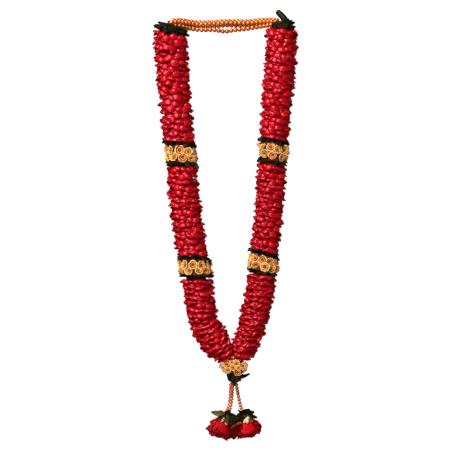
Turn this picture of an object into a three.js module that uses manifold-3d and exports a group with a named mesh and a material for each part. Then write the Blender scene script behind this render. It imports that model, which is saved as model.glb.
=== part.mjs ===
// A rose petal garland, laid flat on a surface.
//
// Two thick ropes of rose petals are threaded on one cotton string. They hang from four strands of gilt
// beads that pass behind the neck, and meet in a vee at a cluster of cream roses. Two bands of cream roses
// between ruffs of dark leaves break each rope. Three shorter strings of beads leave the cluster and carry
// a pair of red roses.
//
// Millimetres. X runs across the garland, +Y points to the neck strands, +Z is up from the surface, and the
// origin lies on the surface under the middle of the garland.

import * as THREE from "three";
import { mergeVertices } from "three/addons/utils/BufferGeometryUtils.js";
import Module from "manifold-3d";

const wasm = await Module();
wasm.setup();

// ---------------------------------------------------------------- driving dimensions

const GAP = 0.3; // clearance between neighbouring pieces
const TIE_GAP = 0.8; // clearance between a strand's slanted end and the binding that it is tied in
const SEED = 11;

// The ropes. An axis is a list of [x, y] points from the neck end to the vee.
const LEFT_AXIS = [
  [-104, 381], [-101.5, 320], [-94, 229], [-84.5, 142], [-75, 37],
  [-62, -48], [-50, -124], [-40, -182], [-29, -205], [-10, -230], [9, -251],
];
const RIGHT_AXIS = [
  [108, 381], [107, 320], [98, 229], [91, 138], [84.5, 37],
  [74, -56], [64, -136], [50.5, -192], [41, -220], [33, -237], [25, -254],
];
const LEFT_REACH = { top: 36, low: 32 }; // of the petal tips, at the neck and below
const RIGHT_REACH = { top: 33.5, low: 30 };
const REACH_SETTLES = 0.33; // share of the length over which the reach goes from one to the other
const LEFT_LEAN = { body: 11, vee: 17 }; // degrees that the rings lean clockwise, seen from above
const RIGHT_LEAN = { body: 8, vee: -22 };
const LEAN_TURNS = [0.68, 0.95]; // share of the length over which the lean goes from one to the other
const END_TAPER = 24; // length over which a rope narrows at the vee
const END_SHARE = 0.85; // of the reach that is left at its end
const CORE_SHARE = 0.55; // packed petal bases, as a share of the reach
const REST_SHARE = 0.87; // height of a rope's axis, as a share of the reach: its underside is pressed flat

// What is threaded on each rope, as distances along its axis from the neck end.
const TOP_RUFF = { start: 8, end: 17 };
const LEFT_BLOCKS = [{ start: 224, end: 271 }, { start: 443, end: 486 }];
const RIGHT_BLOCKS = [{ start: 219, end: 267 }, { start: 433, end: 477 }];
const RUFF_THICKNESS = 9.5; // of the leaf ruff on either side of a rose band
const ROPE_END_MARGIN = 1; // petals stop this far short of the axis' end

// Petals, half as large again as life so that they stay few
const RING_PITCH = 15;
const RING_PETALS = 11;
const PETAL_HALF_WIDTH = 0.27; // of the pitch round the ring
const PETAL_LIFT = 3; // how far tips stray along the rope
const PETAL_TWIST = 1.4; // how far a tip's two corners stray from each other along the rope
const PETAL_REACH = 0.99; // of the reach, on average
const PETAL_UNEVEN = 0.08; // how far petals stray from that
const NOTCH_DEPTH = 1.5; // notches between petals stay this far above the packed bases

// Leaf ruffs
const RUFF_LEAVES = 10;
const RUFF_UNEVEN = 0.09; // how far tips stray in reach, and round the ring in shares of a leaf
const RUFF_LEAF_SLACK = 0.8; // of the thickness that tips stray over
const RUFF_TIP_TURN = 0.06; // shares of a leaf from its middle
const RUFF_SHOULDER = { turn: -0.24, reach: 0.8, lift: 0.5, flare: 0.6 };
const TOP_FLARE = 16; // leaves of the top ruff rise this far towards the neck on its outer side
const INNER_FLARE_SHARE = 0.12; // and this share of it where the bead strands leave
const LEAF_TEETH = 2; // on each edge of a loose leaf
const LEAF_THICKNESS = 1;
const ROLLED_LEAF = { root: [117, 371, 44], way: [-16, 33, 3], length: 37, width: 8.5, fold: 0.6, droop: 0 };

// Cream roses, as heights in shares of the reach
const BAND_ROSES = 8; // in each of a band's two rows
const ROSE_RIM = 0.95;
const ROSE_SCALLOP = 0.06;
const ROSE_DIP = 0.8;
const ROSE_VALLEY = 0.66;
const ROSE_UNEVEN = 0.03; // how far rims stray in height
const ROSE_OUTLINE = { corner: { v: 0.55, turn: 0.28 }, pole: 0.86, flank: 0.38 }; // in shares of a rose

// The cluster at the vee. Its latitudes run from the underside to the top.
const CLUSTER = { x: 17, y: -270, z: 24, halfWidth: 27, halfLength: 18, halfHeight: 26 };
const CLUSTER_ROWS = [{ from: -46, to: 3 }, { from: 3, to: 52 }];
const CLUSTER_ROSES = 6; // in each row
const CLUSTER_CROWN = { rim: 70, valley: 52, petals: 8 }; // the rose on top
const CLUSTER_FOOT = { halfWidth: 15, halfLength: 11 }; // flat spot that it rests on
const SEAM_TOP = [9.5, -216];
const SEAM_FOOT = [18, -254];

// Cotton string
const STRING_RADIUS = 1.5;
const STRING_SIDES = 4;
const STRING_STEP = 40;
const STRING_BORE = 2.2; // hole that it runs through

// Beads
const NECK_BEAD = 8;
const TASSEL_BEAD = 6;
const BEAD_SIDES = 5;
const BEAD_THREAD = 0.9; // radius between two beads

// Bindings of thread that the bead strands are tied in, as [x, y] or [x, y, z] and half sizes
const NECK_BINDING = { length: 10, halfSize: 9.5 };
const LEFT_BINDING = [-104.5, 384.8];
const RIGHT_BINDING = [108.5, 384.8];
const TASSEL_BINDING = { at: [16.5, -303.2, 19], length: 7, halfWidth: 11.5, halfHeight: 5 };
const STACK = NECK_BEAD / 2 + 0.2; // half the spacing of the four strand ends
const TABLE_BEAD = NECK_BEAD / 2 + 0.05;
const RIDING_BEAD = TABLE_BEAD + 7.3; // a strand that lies in the groove of two others

// Tassel roses: base of the bloom and the way that it faces
const ROSE_LENGTH = 41;
const ROSE_REST = 22.5; // height of its axis
const LEFT_ROSE = { base: [-1.5, -369], faces: [-0.28, -1] };
const RIGHT_ROSE = { base: [36, -368], faces: [0.3, -1] };
const STEM_LENGTH = 11;
const STEM_RADIUS = 3.4;
const STRAND_SPREAD = 3.2; // of the two strands that end on the left rose, from its axis
const LEAF_ROOT = 5.5; // behind the base of the bloom
const LEFT_ROSE_LEAVES = [
  { way: [-1, 0.3, 0.1], length: 27, width: 13 },
  { way: [-0.35, 0.6, 0.9], face: [0, -0.6, 0.8], length: 21, width: 14 },
  { way: [0.6, 0.35, 0.9], face: [-0.5, -0.3, 0.8], length: 20, width: 13 },
];
const RIGHT_ROSE_LEAVES = [
  { way: [1, 0.2, 0.1], length: 26, width: 12 },
  { way: [0.35, 0.7, 0.8], face: [0, -0.6, 0.8], length: 21, width: 13 },
  { way: [-0.65, 0.35, 0.9], face: [0.5, -0.3, 0.8], length: 21, width: 14 },
];

// Leaves that close the cluster below
const CLUSTER_LEAVES = [
  { way: [-0.62, -0.75, 0.25], length: 24, width: 13 },
  { way: [0.35, -0.9, 0.35], length: 25, width: 14 },
  { way: [0.97, 0.12, 0.1], length: 32, width: 9 },
  { way: [-0.1, -0.8, 0.75], length: 20, width: 13 },
  { way: [-0.95, -0.3, 0.1], length: 17, width: 10 },
];

const PALETTE = {
  petal: { color: 0x9c0f22, roughness: 0.45 },
  cream: { color: 0xf0c983, roughness: 0.6 },
  leaf: { color: 0x1c2615, roughness: 0.55 },
  bead: { color: 0xd8843a, roughness: 0.25, metalness: 0.6 },
  cotton: { color: 0xe6dcc6, roughness: 0.9 },
};

// ---------------------------------------------------------------- small helpers

function seededRandom(seed) {
  let state = seed >>> 0;
  return () => {
    state = (state + 0x6d2b79f5) >>> 0;
    let t = state;
    t = Math.imul(t ^ (t >>> 15), t | 1);
    t ^= t + Math.imul(t ^ (t >>> 7), t | 61);
    return ((t ^ (t >>> 14)) >>> 0) / 4294967296;
  };
}

const random = seededRandom(SEED);
const spread = (size) => (random() - 0.5) * 2 * size;
const vec = (x, y, z) => new THREE.Vector3(x, y, z);
const TURN = Math.PI * 2;

/** Marks each point of a row with its share of a turn. */
const evenly = (points) => points.map((point, i) => ({ turn: i / points.length, point }));

/** Triangles between two rings of { turn } that start at indices a and b and need not be equally long. */
function zipped(lower, upper, a, b) {
  const faces = [];
  let i = 0;
  let j = 0;
  const turnAt = (ring, k) => ring[k % ring.length].turn + Math.floor(k / ring.length);
  while (i < lower.length || j < upper.length) {
    const stepLower = j >= upper.length || (i < lower.length && turnAt(lower, i + 1) <= turnAt(upper, j + 1));
    const [p, q] = [a + (i % lower.length), b + (j % upper.length)];
    if (stepLower) faces.push(p, a + (++i % lower.length), q);
    else faces.push(p, b + (++j % upper.length), q);
  }
  return faces;
}

/** A closed solid through rings of { turn, point }, with a fan to a point at either end. */
function skin(rings, first = centroid(rings[0]), last = centroid(rings.at(-1))) {
  const sorted = rings.map((ring) => [...ring].sort((a, b) => a.turn - b.turn));
  const points = sorted.flat().map(({ point }) => point).concat([first, last]);
  const faces = [];
  let start = 0;
  sorted.forEach((ring, k) => {
    const count = ring.length;
    const cap = k === 0 ? points.length - 2 : points.length - 1;
    if (k === 0) for (let c = 0; c < count; c++) faces.push(cap, start + ((c + 1) % count), start + c);
    if (k + 1 < sorted.length) faces.push(...zipped(ring, sorted[k + 1], start, start + count));
    else for (let c = 0; c < count; c++) faces.push(cap, start + c, start + ((c + 1) % count));
    start += count;
  });
  const mesh = (triVerts) => ({
    numProp: 3,
    vertProperties: new Float32Array(points.flatMap((p) => [p.x, p.y, p.z])),
    triVerts: new Uint32Array(triVerts),
  });
  const solid = new wasm.Manifold(new wasm.Mesh(mesh(faces)));
  return solid.volume() < 0 ? new wasm.Manifold(new wasm.Mesh(mesh(faces.reverse()))) : solid;
}

/** A closed solid through rows of equally many points. */
const loft = (rows, ...ends) => skin(rows.map(evenly), ...ends);

function centroid(ring) {
  return ring.reduce((sum, { point }) => sum.add(point), vec(0, 0, 0)).divideScalar(ring.length);
}

/** A manifold-3d solid of a three.js geometry. */
function solidOf(geometry) {
  const bare = geometry.clone();
  bare.deleteAttribute("normal");
  bare.deleteAttribute("uv");
  const merged = mergeVertices(bare, 1e-4);
  return new wasm.Manifold(
    new wasm.Mesh({
      numProp: 3,
      vertProperties: merged.attributes.position.array,
      triVerts: new Uint32Array(merged.index.array),
    }),
  );
}

/** A three.js geometry of a manifold-3d solid. */
function geometryOf(solid) {
  const mesh = solid.getMesh();
  return new THREE.BufferGeometry()
    .setAttribute("position", new THREE.BufferAttribute(mesh.vertProperties, 3))
    .setIndex(new THREE.BufferAttribute(mesh.triVerts, 1));
}

const union = (solids) => wasm.Manifold.union(solids);
const onSurface = (solid) => solid.trimByPlane([0, 0, 1], 0);

function ellipsoid(x, y, z, rx, ry, rz, columns = 10, rows = 6) {
  const ball = new THREE.SphereGeometry(1, columns, rows);
  ball.scale(rx, ry, rz).translate(x, y, z);
  return solidOf(ball);
}

/** Turns a solid so that its +Z points along `outward` and its +X up, and moves it to `origin`. */
function placed(solid, origin, outward) {
  const z = outward.clone().normalize();
  const y = z.clone().cross(vec(0, 0, 1)).normalize();
  const x = y.clone().cross(z);
  return solid.transform(new THREE.Matrix4().makeBasis(x, y, z).setPosition(origin).elements);
}

/** Points of a section with `sides` corners round `centre`, square to `run`. */
function cornersRound(centre, run, radius, sides, firstAngle) {
  const side = run.clone().cross(vec(0, 0, 1)).normalize();
  const up = side.clone().cross(run);
  return Array.from({ length: sides }, (_, c) => {
    const angle = firstAngle + (TURN * c) / sides;
    return centre
      .clone()
      .addScaledVector(side, Math.cos(angle) * radius)
      .addScaledVector(up, Math.sin(angle) * radius);
  });
}

// ---------------------------------------------------------------- a rope's axis and its rings

class Rope {
  constructor(axis, reach, lean) {
    this.reach = reach;
    this.lean = lean;
    const shareOf = (i) => i / (axis.length - 1);
    const points = axis.map(([x, y], i) => vec(x, y, REST_SHARE * this.#reachAt(shareOf(i))));
    this.curve = new THREE.CatmullRomCurve3(points, false, "centripetal");
    this.curve.arcLengthDivisions = 400;
    this.length = this.curve.getLength();
    this.end = this.length - ROPE_END_MARGIN;
  }

  #reachAt(share) {
    return THREE.MathUtils.lerp(this.reach.top, this.reach.low, Math.min(1, share / REACH_SETTLES));
  }

  share(s) {
    return THREE.MathUtils.clamp(s / this.length, 0, 1);
  }

  at(s) {
    return this.curve.getPointAt(this.share(s));
  }

  /** Reach of the petals at a distance along the rope. */
  tipRadius(s) {
    const taper = THREE.MathUtils.smoothstep(s, this.length - END_TAPER, this.length);
    return this.#reachAt(this.share(s)) * THREE.MathUtils.lerp(1, END_SHARE, taper);
  }

  coreRadius(s) {
    return CORE_SHARE * this.tipRadius(s);
  }

  /** The leaning cross-section at a distance along the rope: its centre and its three axes. */
  section(s) {
    const run = this.curve.getTangentAt(this.share(s));
    const turned = THREE.MathUtils.smoothstep(this.share(s), ...LEAN_TURNS);
    const lean = THREE.MathUtils.lerp(this.lean.body, this.lean.vee, turned);
    const angle = Math.atan2(run.y, run.x) - THREE.MathUtils.degToRad(lean);
    const along = vec(Math.cos(angle), Math.sin(angle), 0);
    return { centre: this.at(s), along, across: vec(-along.y, along.x, 0) };
  }

  /** { turn, point } of the section at s, pressed flat where it would reach below the surface. */
  mark(s, turn, radius, lift = 0) {
    const { centre, across, along } = this.section(s);
    const point = centre
      .addScaledVector(across, Math.cos(TURN * turn) * radius)
      .addScaledVector(along, lift)
      .add(vec(0, 0, Math.sin(TURN * turn) * radius));
    point.z = Math.max(point.z, 0);
    return { turn: turn - Math.floor(turn), point };
  }

  circle(s, radius, count, turn = 0) {
    return Array.from({ length: count }, (_, c) => this.mark(s, turn + c / count, radius));
  }
}

const leftRope = new Rope(LEFT_AXIS, LEFT_REACH, LEFT_LEAN);
const rightRope = new Rope(RIGHT_AXIS, RIGHT_REACH, RIGHT_LEAN);

// ---------------------------------------------------------------- cotton string

/** A tube of few sides along points. */
function tube(points, radius, sides) {
  const rows = points.map((p, i) => {
    const before = points[Math.max(i - 1, 0)];
    const after = points[Math.min(i + 1, points.length - 1)];
    return cornersRound(p, after.clone().sub(before).normalize(), radius, sides, Math.PI / sides);
  });
  return loft(rows);
}

const KNIT_POINT = vec(CLUSTER.x, CLUSTER.y + 4, CLUSTER.z);

/** The string's route down one rope, from its binding to just past the point where both halves are tied. */
function stringRoute(rope, binding, overrun) {
  const steps = Math.round(rope.length / STRING_STEP);
  const start = vec(...binding, rope.at(0).z);
  const inner = Array.from({ length: steps }, (_, i) => rope.at((rope.length * (i + 0.3)) / steps));
  const foot = rope.at(rope.length);
  return [start, ...inner, foot, KNIT_POINT.clone().add(KNIT_POINT.clone().sub(foot).setLength(overrun))];
}

function stringSolid(radius) {
  const tassel = [KNIT_POINT.clone().add(vec(0, 3 + radius, 0)), KNIT_POINT, vec(...TASSEL_BINDING.at)];
  return union([
    tube(stringRoute(leftRope, LEFT_BINDING, radius), radius, STRING_SIDES),
    tube(stringRoute(rightRope, RIGHT_BINDING, radius), radius, STRING_SIDES),
    tube(tassel, radius, STRING_SIDES),
  ]);
}

const STRING_HOLE = stringSolid(STRING_BORE);

/** A short drum of wound thread with its flat ends facing along `axis`. */
function binding(origin, axis, length, halfWidth, halfHeight) {
  const drum = new THREE.CylinderGeometry(1, 1, length, 8).rotateY(Math.PI / 8);
  drum.scale(halfWidth, 1, halfHeight);
  if (axis === "x") drum.rotateZ(Math.PI / 2);
  return solidOf(drum.translate(...origin));
}

function cottonString() {
  const { length, halfSize } = NECK_BINDING;
  const { at, length: tasselLength, halfWidth, halfHeight } = TASSEL_BINDING;
  return union([
    stringSolid(STRING_RADIUS),
    binding([...LEFT_BINDING, leftRope.at(0).z], "x", length, halfSize, halfSize),
    binding([...RIGHT_BINDING, rightRope.at(0).z], "x", length, halfSize, halfSize),
    binding(at, "y", tasselLength, halfWidth, halfHeight),
  ]);
}

// ---------------------------------------------------------------- petals

/** One stretch of threaded petals: rings of blunt, cupped petals that stand out of their packed bases. */
function petalStretch(rope, start, end) {
  const rings = Math.round((end - start) / RING_PITCH);
  const pitch = (end - start) / rings;
  const stagger = 0.5 / RING_PETALS;
  const rows = [rope.circle(start, rope.coreRadius(start), RING_PETALS, stagger)];
  for (let k = 0; k < rings; k++) {
    const foot = start + (k + 1) * pitch;
    rows.push(petalRing(rope, foot - pitch / 2, k * stagger));
    rows.push(rope.circle(foot, rope.coreRadius(foot), RING_PETALS, (k + 1) * stagger));
  }
  return skin(rows);
}

function petalRing(rope, s, turn) {
  const row = [];
  for (let j = 0; j < RING_PETALS; j++) {
    const reach = rope.tipRadius(s) * (PETAL_REACH + spread(PETAL_UNEVEN));
    const lift = spread(PETAL_LIFT);
    const twist = spread(PETAL_TWIST);
    for (const side of [-1, 1]) {
      const tip = turn + (j + side * PETAL_HALF_WIDTH) / RING_PETALS;
      row.push(rope.mark(s, tip, reach * (1 + spread(PETAL_UNEVEN / 2)), lift + side * twist));
    }
    row.push(rope.mark(s, turn + (j + 0.5) / RING_PETALS, rope.coreRadius(s) + NOTCH_DEPTH));
  }
  return row;
}

// ---------------------------------------------------------------- leaf ruffs

/** A ring of pointed leaves that stand out between petals and roses. */
function leafRuff(rope, start, end, flare = () => 0) {
  const middle = (start + end) / 2;
  const slack = RUFF_LEAF_SLACK * ((end - start) / 2 - 1);
  const hub = rope.coreRadius(middle);
  const rim = [];
  for (let j = 0; j < RUFF_LEAVES; j++) {
    const reach = rope.tipRadius(middle) * (1 + spread(RUFF_UNEVEN));
    const lift = spread(slack);
    const turn = (j + spread(RUFF_UNEVEN)) / RUFF_LEAVES;
    const { turn: shoulderTurn, reach: shoulderReach, lift: l, flare: f } = RUFF_SHOULDER;
    const shoulder = turn + shoulderTurn / RUFF_LEAVES;
    rim.push(rope.mark(middle, shoulder, reach * shoulderReach, lift * l + flare(turn) * f));
    rim.push(rope.mark(middle, turn + RUFF_TIP_TURN / RUFF_LEAVES, reach, lift + flare(turn)));
    rim.push(rope.mark(middle, (j + 0.5) / RUFF_LEAVES, hub + NOTCH_DEPTH));
  }
  return skin([rope.circle(start, hub, RUFF_LEAVES), rim, rope.circle(end, hub, RUFF_LEAVES)]);
}

// ---------------------------------------------------------------- cream roses

/**
 * One row of open roses, raised from a round surface: scalloped rims, dips in their middles and valleys
 * between them. `mark(v, turn, share)` gives the { turn, point } at v along the surface and at that share
 * of its reach.
 */
function roseRow(mark, from, to, roses, offset) {
  const middle = (from + to) / 2;
  const half = (to - from) / 2;
  const rim = () => ROSE_RIM + spread(ROSE_UNEVEN);
  const rings = [[], [], []];
  for (let j = 0; j < roses; j++) {
    const put = (ring, v, turn, share) => {
      rings[ring].push(mark(middle + v * half, offset + (j + turn) / roses, share));
    };
    const { corner, pole, flank } = ROSE_OUTLINE;
    for (const [ring, side] of [[0, -1], [2, 1]]) {
      put(ring, side * corner.v, -corner.turn, rim());
      put(ring, side * pole, 0, rim() - ROSE_SCALLOP);
      put(ring, side * corner.v, corner.turn, rim());
      put(ring, side * corner.v, 0.5, ROSE_VALLEY);
    }
    put(1, 0, -flank, rim() - ROSE_SCALLOP);
    put(1, 0, 0, ROSE_DIP);
    put(1, 0, flank, rim() - ROSE_SCALLOP);
    put(1, 0, 0.5, ROSE_VALLEY);
  }
  return rings;
}

/** Two rows of cream roses round a rope. */
function roseBand(rope, start, end) {
  const middle = (start + end) / 2;
  const mark = (s, turn, share) => rope.mark(s, turn, rope.tipRadius(middle) * share);
  const valley = (s, share) => rope.circle(s, rope.tipRadius(middle) * share, 2 * BAND_ROSES);
  return skin([
    valley(start, CORE_SHARE),
    ...roseRow(mark, start, middle, BAND_ROSES, 0),
    valley(middle, ROSE_VALLEY),
    ...roseRow(mark, middle, end, BAND_ROSES, 0.5 / BAND_ROSES),
    valley(end, CORE_SHARE),
  ]);
}

/** The dome of cream roses at the vee, pressed flat underneath. */
function roseCluster() {
  const { x, y, z, halfWidth, halfLength, halfHeight } = CLUSTER;
  const mark = (latitude, turn, share) => {
    const rise = THREE.MathUtils.degToRad(latitude);
    const point = vec(
      x + halfWidth * share * Math.cos(rise) * Math.cos(TURN * turn),
      y + halfLength * share * Math.cos(rise) * Math.sin(TURN * turn),
      z + halfHeight * share * Math.sin(rise),
    );
    return { turn: turn - Math.floor(turn), point };
  };
  const ring = (latitude, share, count) =>
    Array.from({ length: count }, (_, c) => mark(latitude, c / count, share));
  const footCount = 2 * CLUSTER_ROSES;
  const foot = Array.from({ length: footCount }, (_, c) => {
    const angle = (TURN * c) / footCount;
    const { halfWidth: w, halfLength: l } = CLUSTER_FOOT;
    return { turn: c / footCount, point: vec(x + w * Math.cos(angle), y + l * Math.sin(angle), 0) };
  });
  const rows = CLUSTER_ROWS.flatMap(({ from, to }, i) => [
    ring(from, ROSE_VALLEY, footCount),
    ...roseRow(mark, from, to, CLUSTER_ROSES, (0.5 * i) / CLUSTER_ROSES),
  ]);
  const { valley, rim, petals } = CLUSTER_CROWN;
  const crown = [ring(valley, ROSE_VALLEY, footCount), ring(rim, ROSE_RIM, petals)];
  return skin([foot, ...rows, ...crown], undefined, mark(90, 0, ROSE_DIP).point);
}

// ---------------------------------------------------------------- blades of leaf

/** A leaf along +X from the origin, with its face up: toothed edges, a fold at the rib and a drooping tip. */
function leafBlade({ length, width, fold = 0.25, droop = 0.15 }) {
  const rows = [];
  const stations = LEAF_TEETH * 2 + 1;
  for (let i = 0; i < stations; i++) {
    const t = i / (stations - 1);
    const outline = Math.sin(Math.PI * (0.06 + 0.9 * t ** 1.2));
    const half = (width / 2) * outline * (i % 2 ? 1.06 : 0.92) + 0.3;
    const x = length * t;
    const rib = -droop * length * t * t;
    const edge = rib + fold * half;
    const skin = LEAF_THICKNESS / 2;
    rows.push([
      vec(x, -half, edge + skin), vec(x, 0, rib + skin), vec(x, half, edge + skin),
      vec(x, half, edge - skin), vec(x, 0, rib - skin), vec(x, -half, edge - skin),
    ]);
  }
  return loft(rows);
}

/** A leaf whose base is at `origin`, that runs along `way` with its face towards `face`. */
function leafAt(origin, way, face, sizes) {
  const x = way.clone().normalize();
  const y = face.clone().cross(x).normalize();
  const z = x.clone().cross(y);
  const m = new THREE.Matrix4().makeBasis(x, y, z).setPosition(origin);
  return leafBlade(sizes).transform(m.elements);
}

// ---------------------------------------------------------------- beads

/** Beads on their thread along a route. The bead's size is adjusted so that whole beads fill it. */
function beadString(points, diameter) {
  const route = new THREE.CatmullRomCurve3(points, false, "centripetal");
  const count = Math.floor(route.getLength() / diameter);
  const rows = [];
  const ring = (share, radius) => {
    const p = route.getPointAt(share);
    p.z = Math.max(p.z, diameter / 2); // beads lie on the surface, never in it
    return cornersRound(p, route.getTangentAt(share), radius, BEAD_SIDES, -Math.PI / 2);
  };
  for (let i = 0; i < count; i++) {
    rows.push(ring(i / count, BEAD_THREAD));
    rows.push(ring((i + 0.5) / count, diameter / 2));
  }
  rows.push(ring(1, BEAD_THREAD));
  return loft(rows);
}

/** Routes of the four neck strands, from the left binding to the right one. */
function neckRoutes() {
  const zl = leftRope.at(0).z;
  const zr = rightRope.at(0).z;
  const xl = LEFT_BINDING[0] + NECK_BINDING.length / 2 + TIE_GAP;
  const xr = RIGHT_BINDING[0] - NECK_BINDING.length / 2 - TIE_GAP;
  const low = TABLE_BEAD;
  const yl = LEFT_BINDING[1];
  const yr = RIGHT_BINDING[1];
  return {
    back: [
      vec(xl, yl + STACK, zl - STACK), vec(xl + 14, yl + STACK + 2, zl - 13), vec(-62, 389, low + 2),
      vec(-45, 389, low), vec(0, 389.5, low), vec(45, 392, low), vec(66, 393, low + 2),
      vec(xr - 14, yr + STACK + 3, zr - 13), vec(xr, yr + STACK, zr - STACK),
    ],
    front: [
      vec(xl, yl - STACK, zl - STACK), vec(xl + 14, yl - STACK, zl - 13), vec(-62, 380, low + 2),
      vec(-45, 380.5, low), vec(0, 381, low), vec(45, 383.5, low), vec(66, 384, low + 2),
      vec(xr - 14, yr - STACK + 1, zr - 13), vec(xr, yr - STACK, zr - STACK),
    ],
    riding: [
      vec(xl, yl + STACK, zl + STACK), vec(xl + 14, yl + STACK + 1, zl - 4), vec(-62, 385.5, RIDING_BEAD + 2),
      vec(-45, 384.8, RIDING_BEAD), vec(0, 385.3, RIDING_BEAD), vec(45, 387.7, RIDING_BEAD),
      vec(66, 388.5, RIDING_BEAD + 2), vec(xr - 14, yr + STACK + 2, zr - 4), vec(xr, yr + STACK, zr + STACK),
    ],
    loose: [
      vec(xl, yl - STACK, zl + STACK), vec(xl + 16, yl - STACK - 3, zl - 4), vec(-60, 371.6, low + 5),
      vec(-42, 371, low), vec(0, 369, low), vec(40, 372, low), vec(64, 375, low + 5),
      vec(xr - 16, yr - STACK - 1, zr - 3), vec(xr, yr - STACK, zr + STACK),
    ],
  };
}

/** The three tassel strings, from their binding under the cluster to the roses' stems. */
function tasselRoutes() {
  const leftStem = stemTop(LEFT_ROSE);
  const apart = roseFrame(LEFT_ROSE).side.multiplyScalar(STRAND_SPREAD);
  const [x, y, z] = TASSEL_BINDING.at;
  const top = y - TASSEL_BINDING.length / 2 - TIE_GAP;
  const droop = z - 7;
  return {
    left: [vec(x - 6.6, top, z), vec(x - 7.6, y - 30, droop), leftStem.clone().sub(apart)],
    middle: [vec(x, top, z), vec(x - 0.8, y - 28, droop), leftStem.clone().add(apart)],
    right: [vec(x + 6.6, top, z), vec(x + 10.5, y - 28, droop), stemTop(RIGHT_ROSE)],
  };
}

// ---------------------------------------------------------------- red roses

/** A cup of petals, open towards +Z: a thin wall whose rim is cut into lobes. */
function petalCup({ lobes, base, belly, rim, turn, wall = 1.4 }) {
  const columns = lobes * 3;
  const row = (r, z, inset, lobed) =>
    Array.from({ length: columns }, (_, c) => {
      const notch = lobed && c % 3 === 2;
      const shift = c % 3 === 2 ? 0 : (c % 3 ? -1 : 1) * (lobed ? 0.12 : 0);
      const angle = turn + (TURN * (c + shift)) / columns;
      const reach = (r - inset) * (notch ? 0.84 : 1 + (lobed ? spread(0.02) : 0));
      return vec(Math.cos(angle) * reach, Math.sin(angle) * reach, notch ? z - 5 : z);
    });
  return loft(
    [
      row(base.r, base.z, 0, false),
      row(belly.r, belly.z, 0, false),
      row(rim.r, rim.z, 0, true),
      row(belly.r, belly.z + wall, wall, false),
      row(base.r, base.z + wall * 2, wall, false),
    ],
    vec(0, 0, base.z),
    vec(0, 0, base.z + wall * 2),
  );
}

/** A half-open rose, 0 at its base and open towards +Z. */
function redRose() {
  const outer = petalCup({
    lobes: 5, turn: 0.3, base: { r: 7, z: 0 }, belly: { r: 20, z: 10 }, rim: { r: 25.5, z: 25 },
  });
  const middle = petalCup({
    lobes: 4, turn: 0.9, base: { r: 6, z: 1 }, belly: { r: 16, z: 15 }, rim: { r: 19.5, z: 34 },
  });
  const bud = petalCup({
    lobes: 3, turn: 0.1, base: { r: 5, z: 1 }, belly: { r: 11, z: 20 }, rim: { r: 11, z: ROSE_LENGTH },
  });
  const heart = new THREE.SphereGeometry(1, 6, 4).rotateX(Math.PI / 2);
  return union([outer, middle, bud, solidOf(heart.scale(6, 6, 19).translate(0, 0, 19))]);
}

function roseFrame({ base, faces }) {
  const origin = vec(...base, ROSE_REST);
  return { origin, faces: vec(...faces, 0).normalize(), side: vec(-faces[1], faces[0], 0).normalize() };
}

/** Where the strands end, just behind a rose's stem. */
function stemTop(rose) {
  const { origin, faces } = roseFrame(rose);
  return origin.addScaledVector(faces, -(STEM_LENGTH + TIE_GAP));
}

/** A short stem and leaves behind a tassel rose. */
function roseLeaves(rose, leaves) {
  const { origin, faces } = roseFrame(rose);
  const behind = (distance) => origin.clone().addScaledVector(faces, -distance);
  const stem = tube([behind(GAP), behind(STEM_LENGTH)], STEM_RADIUS, 6);
  return union([
    stem,
    ...leaves.map(({ way, face = [0, 0, 1], ...sizes }) =>
      leafAt(behind(LEAF_ROOT), vec(...way), vec(...face), { ...sizes, droop: 0.1 }),
    ),
  ]);
}

// ---------------------------------------------------------------- leaves under the cluster

/** A collar of leaves that closes the cluster where the tassel strings leave it. */
function clusterLeaves() {
  const neck = vec(CLUSTER.x, CLUSTER.y - CLUSTER.halfLength - 6.5, 20.5);
  const root = neck.clone().add(vec(0, 0, 3));
  return union([
    ellipsoid(neck.x, neck.y, neck.z, 10, 3.6, 9, 8, 4),
    ...CLUSTER_LEAVES.map(({ way, ...sizes }) => leafAt(root, vec(...way), vec(0, 0.3, 1), sizes)),
  ]);
}

// ---------------------------------------------------------------- assembly

const garland = new THREE.Group();

function add(name, finish, solid) {
  const mesh = new THREE.Mesh(geometryOf(solid), new THREE.MeshStandardMaterial(PALETTE[finish]));
  mesh.name = name;
  garland.add(mesh);
}

/** The space round the cluster that both ropes stay out of. */
function clusterRoom() {
  const { x, y, z, halfWidth, halfLength, halfHeight } = CLUSTER;
  return ellipsoid(x, y, z, halfWidth + 2, halfLength + 2, halfHeight + 2, 12, 8);
}

/** Cuts a piece of a rope where the other rope and the cluster meet it. */
function clearOfVee(solid, side) {
  const run = new THREE.Vector2(SEAM_FOOT[0] - SEAM_TOP[0], SEAM_FOOT[1] - SEAM_TOP[1]).normalize();
  const normal = [run.y * side, -run.x * side, 0];
  const offset = normal[0] * SEAM_TOP[0] + normal[1] * SEAM_TOP[1] + GAP / 2;
  return solid.trimByPlane(normal, offset).subtract(clusterRoom());
}

const largest = (solid) => solid.decompose().reduce((a, b) => (a.volume() > b.volume() ? a : b));
const threaded = (solid) => largest(solid.subtract(STRING_HOLE));

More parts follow.
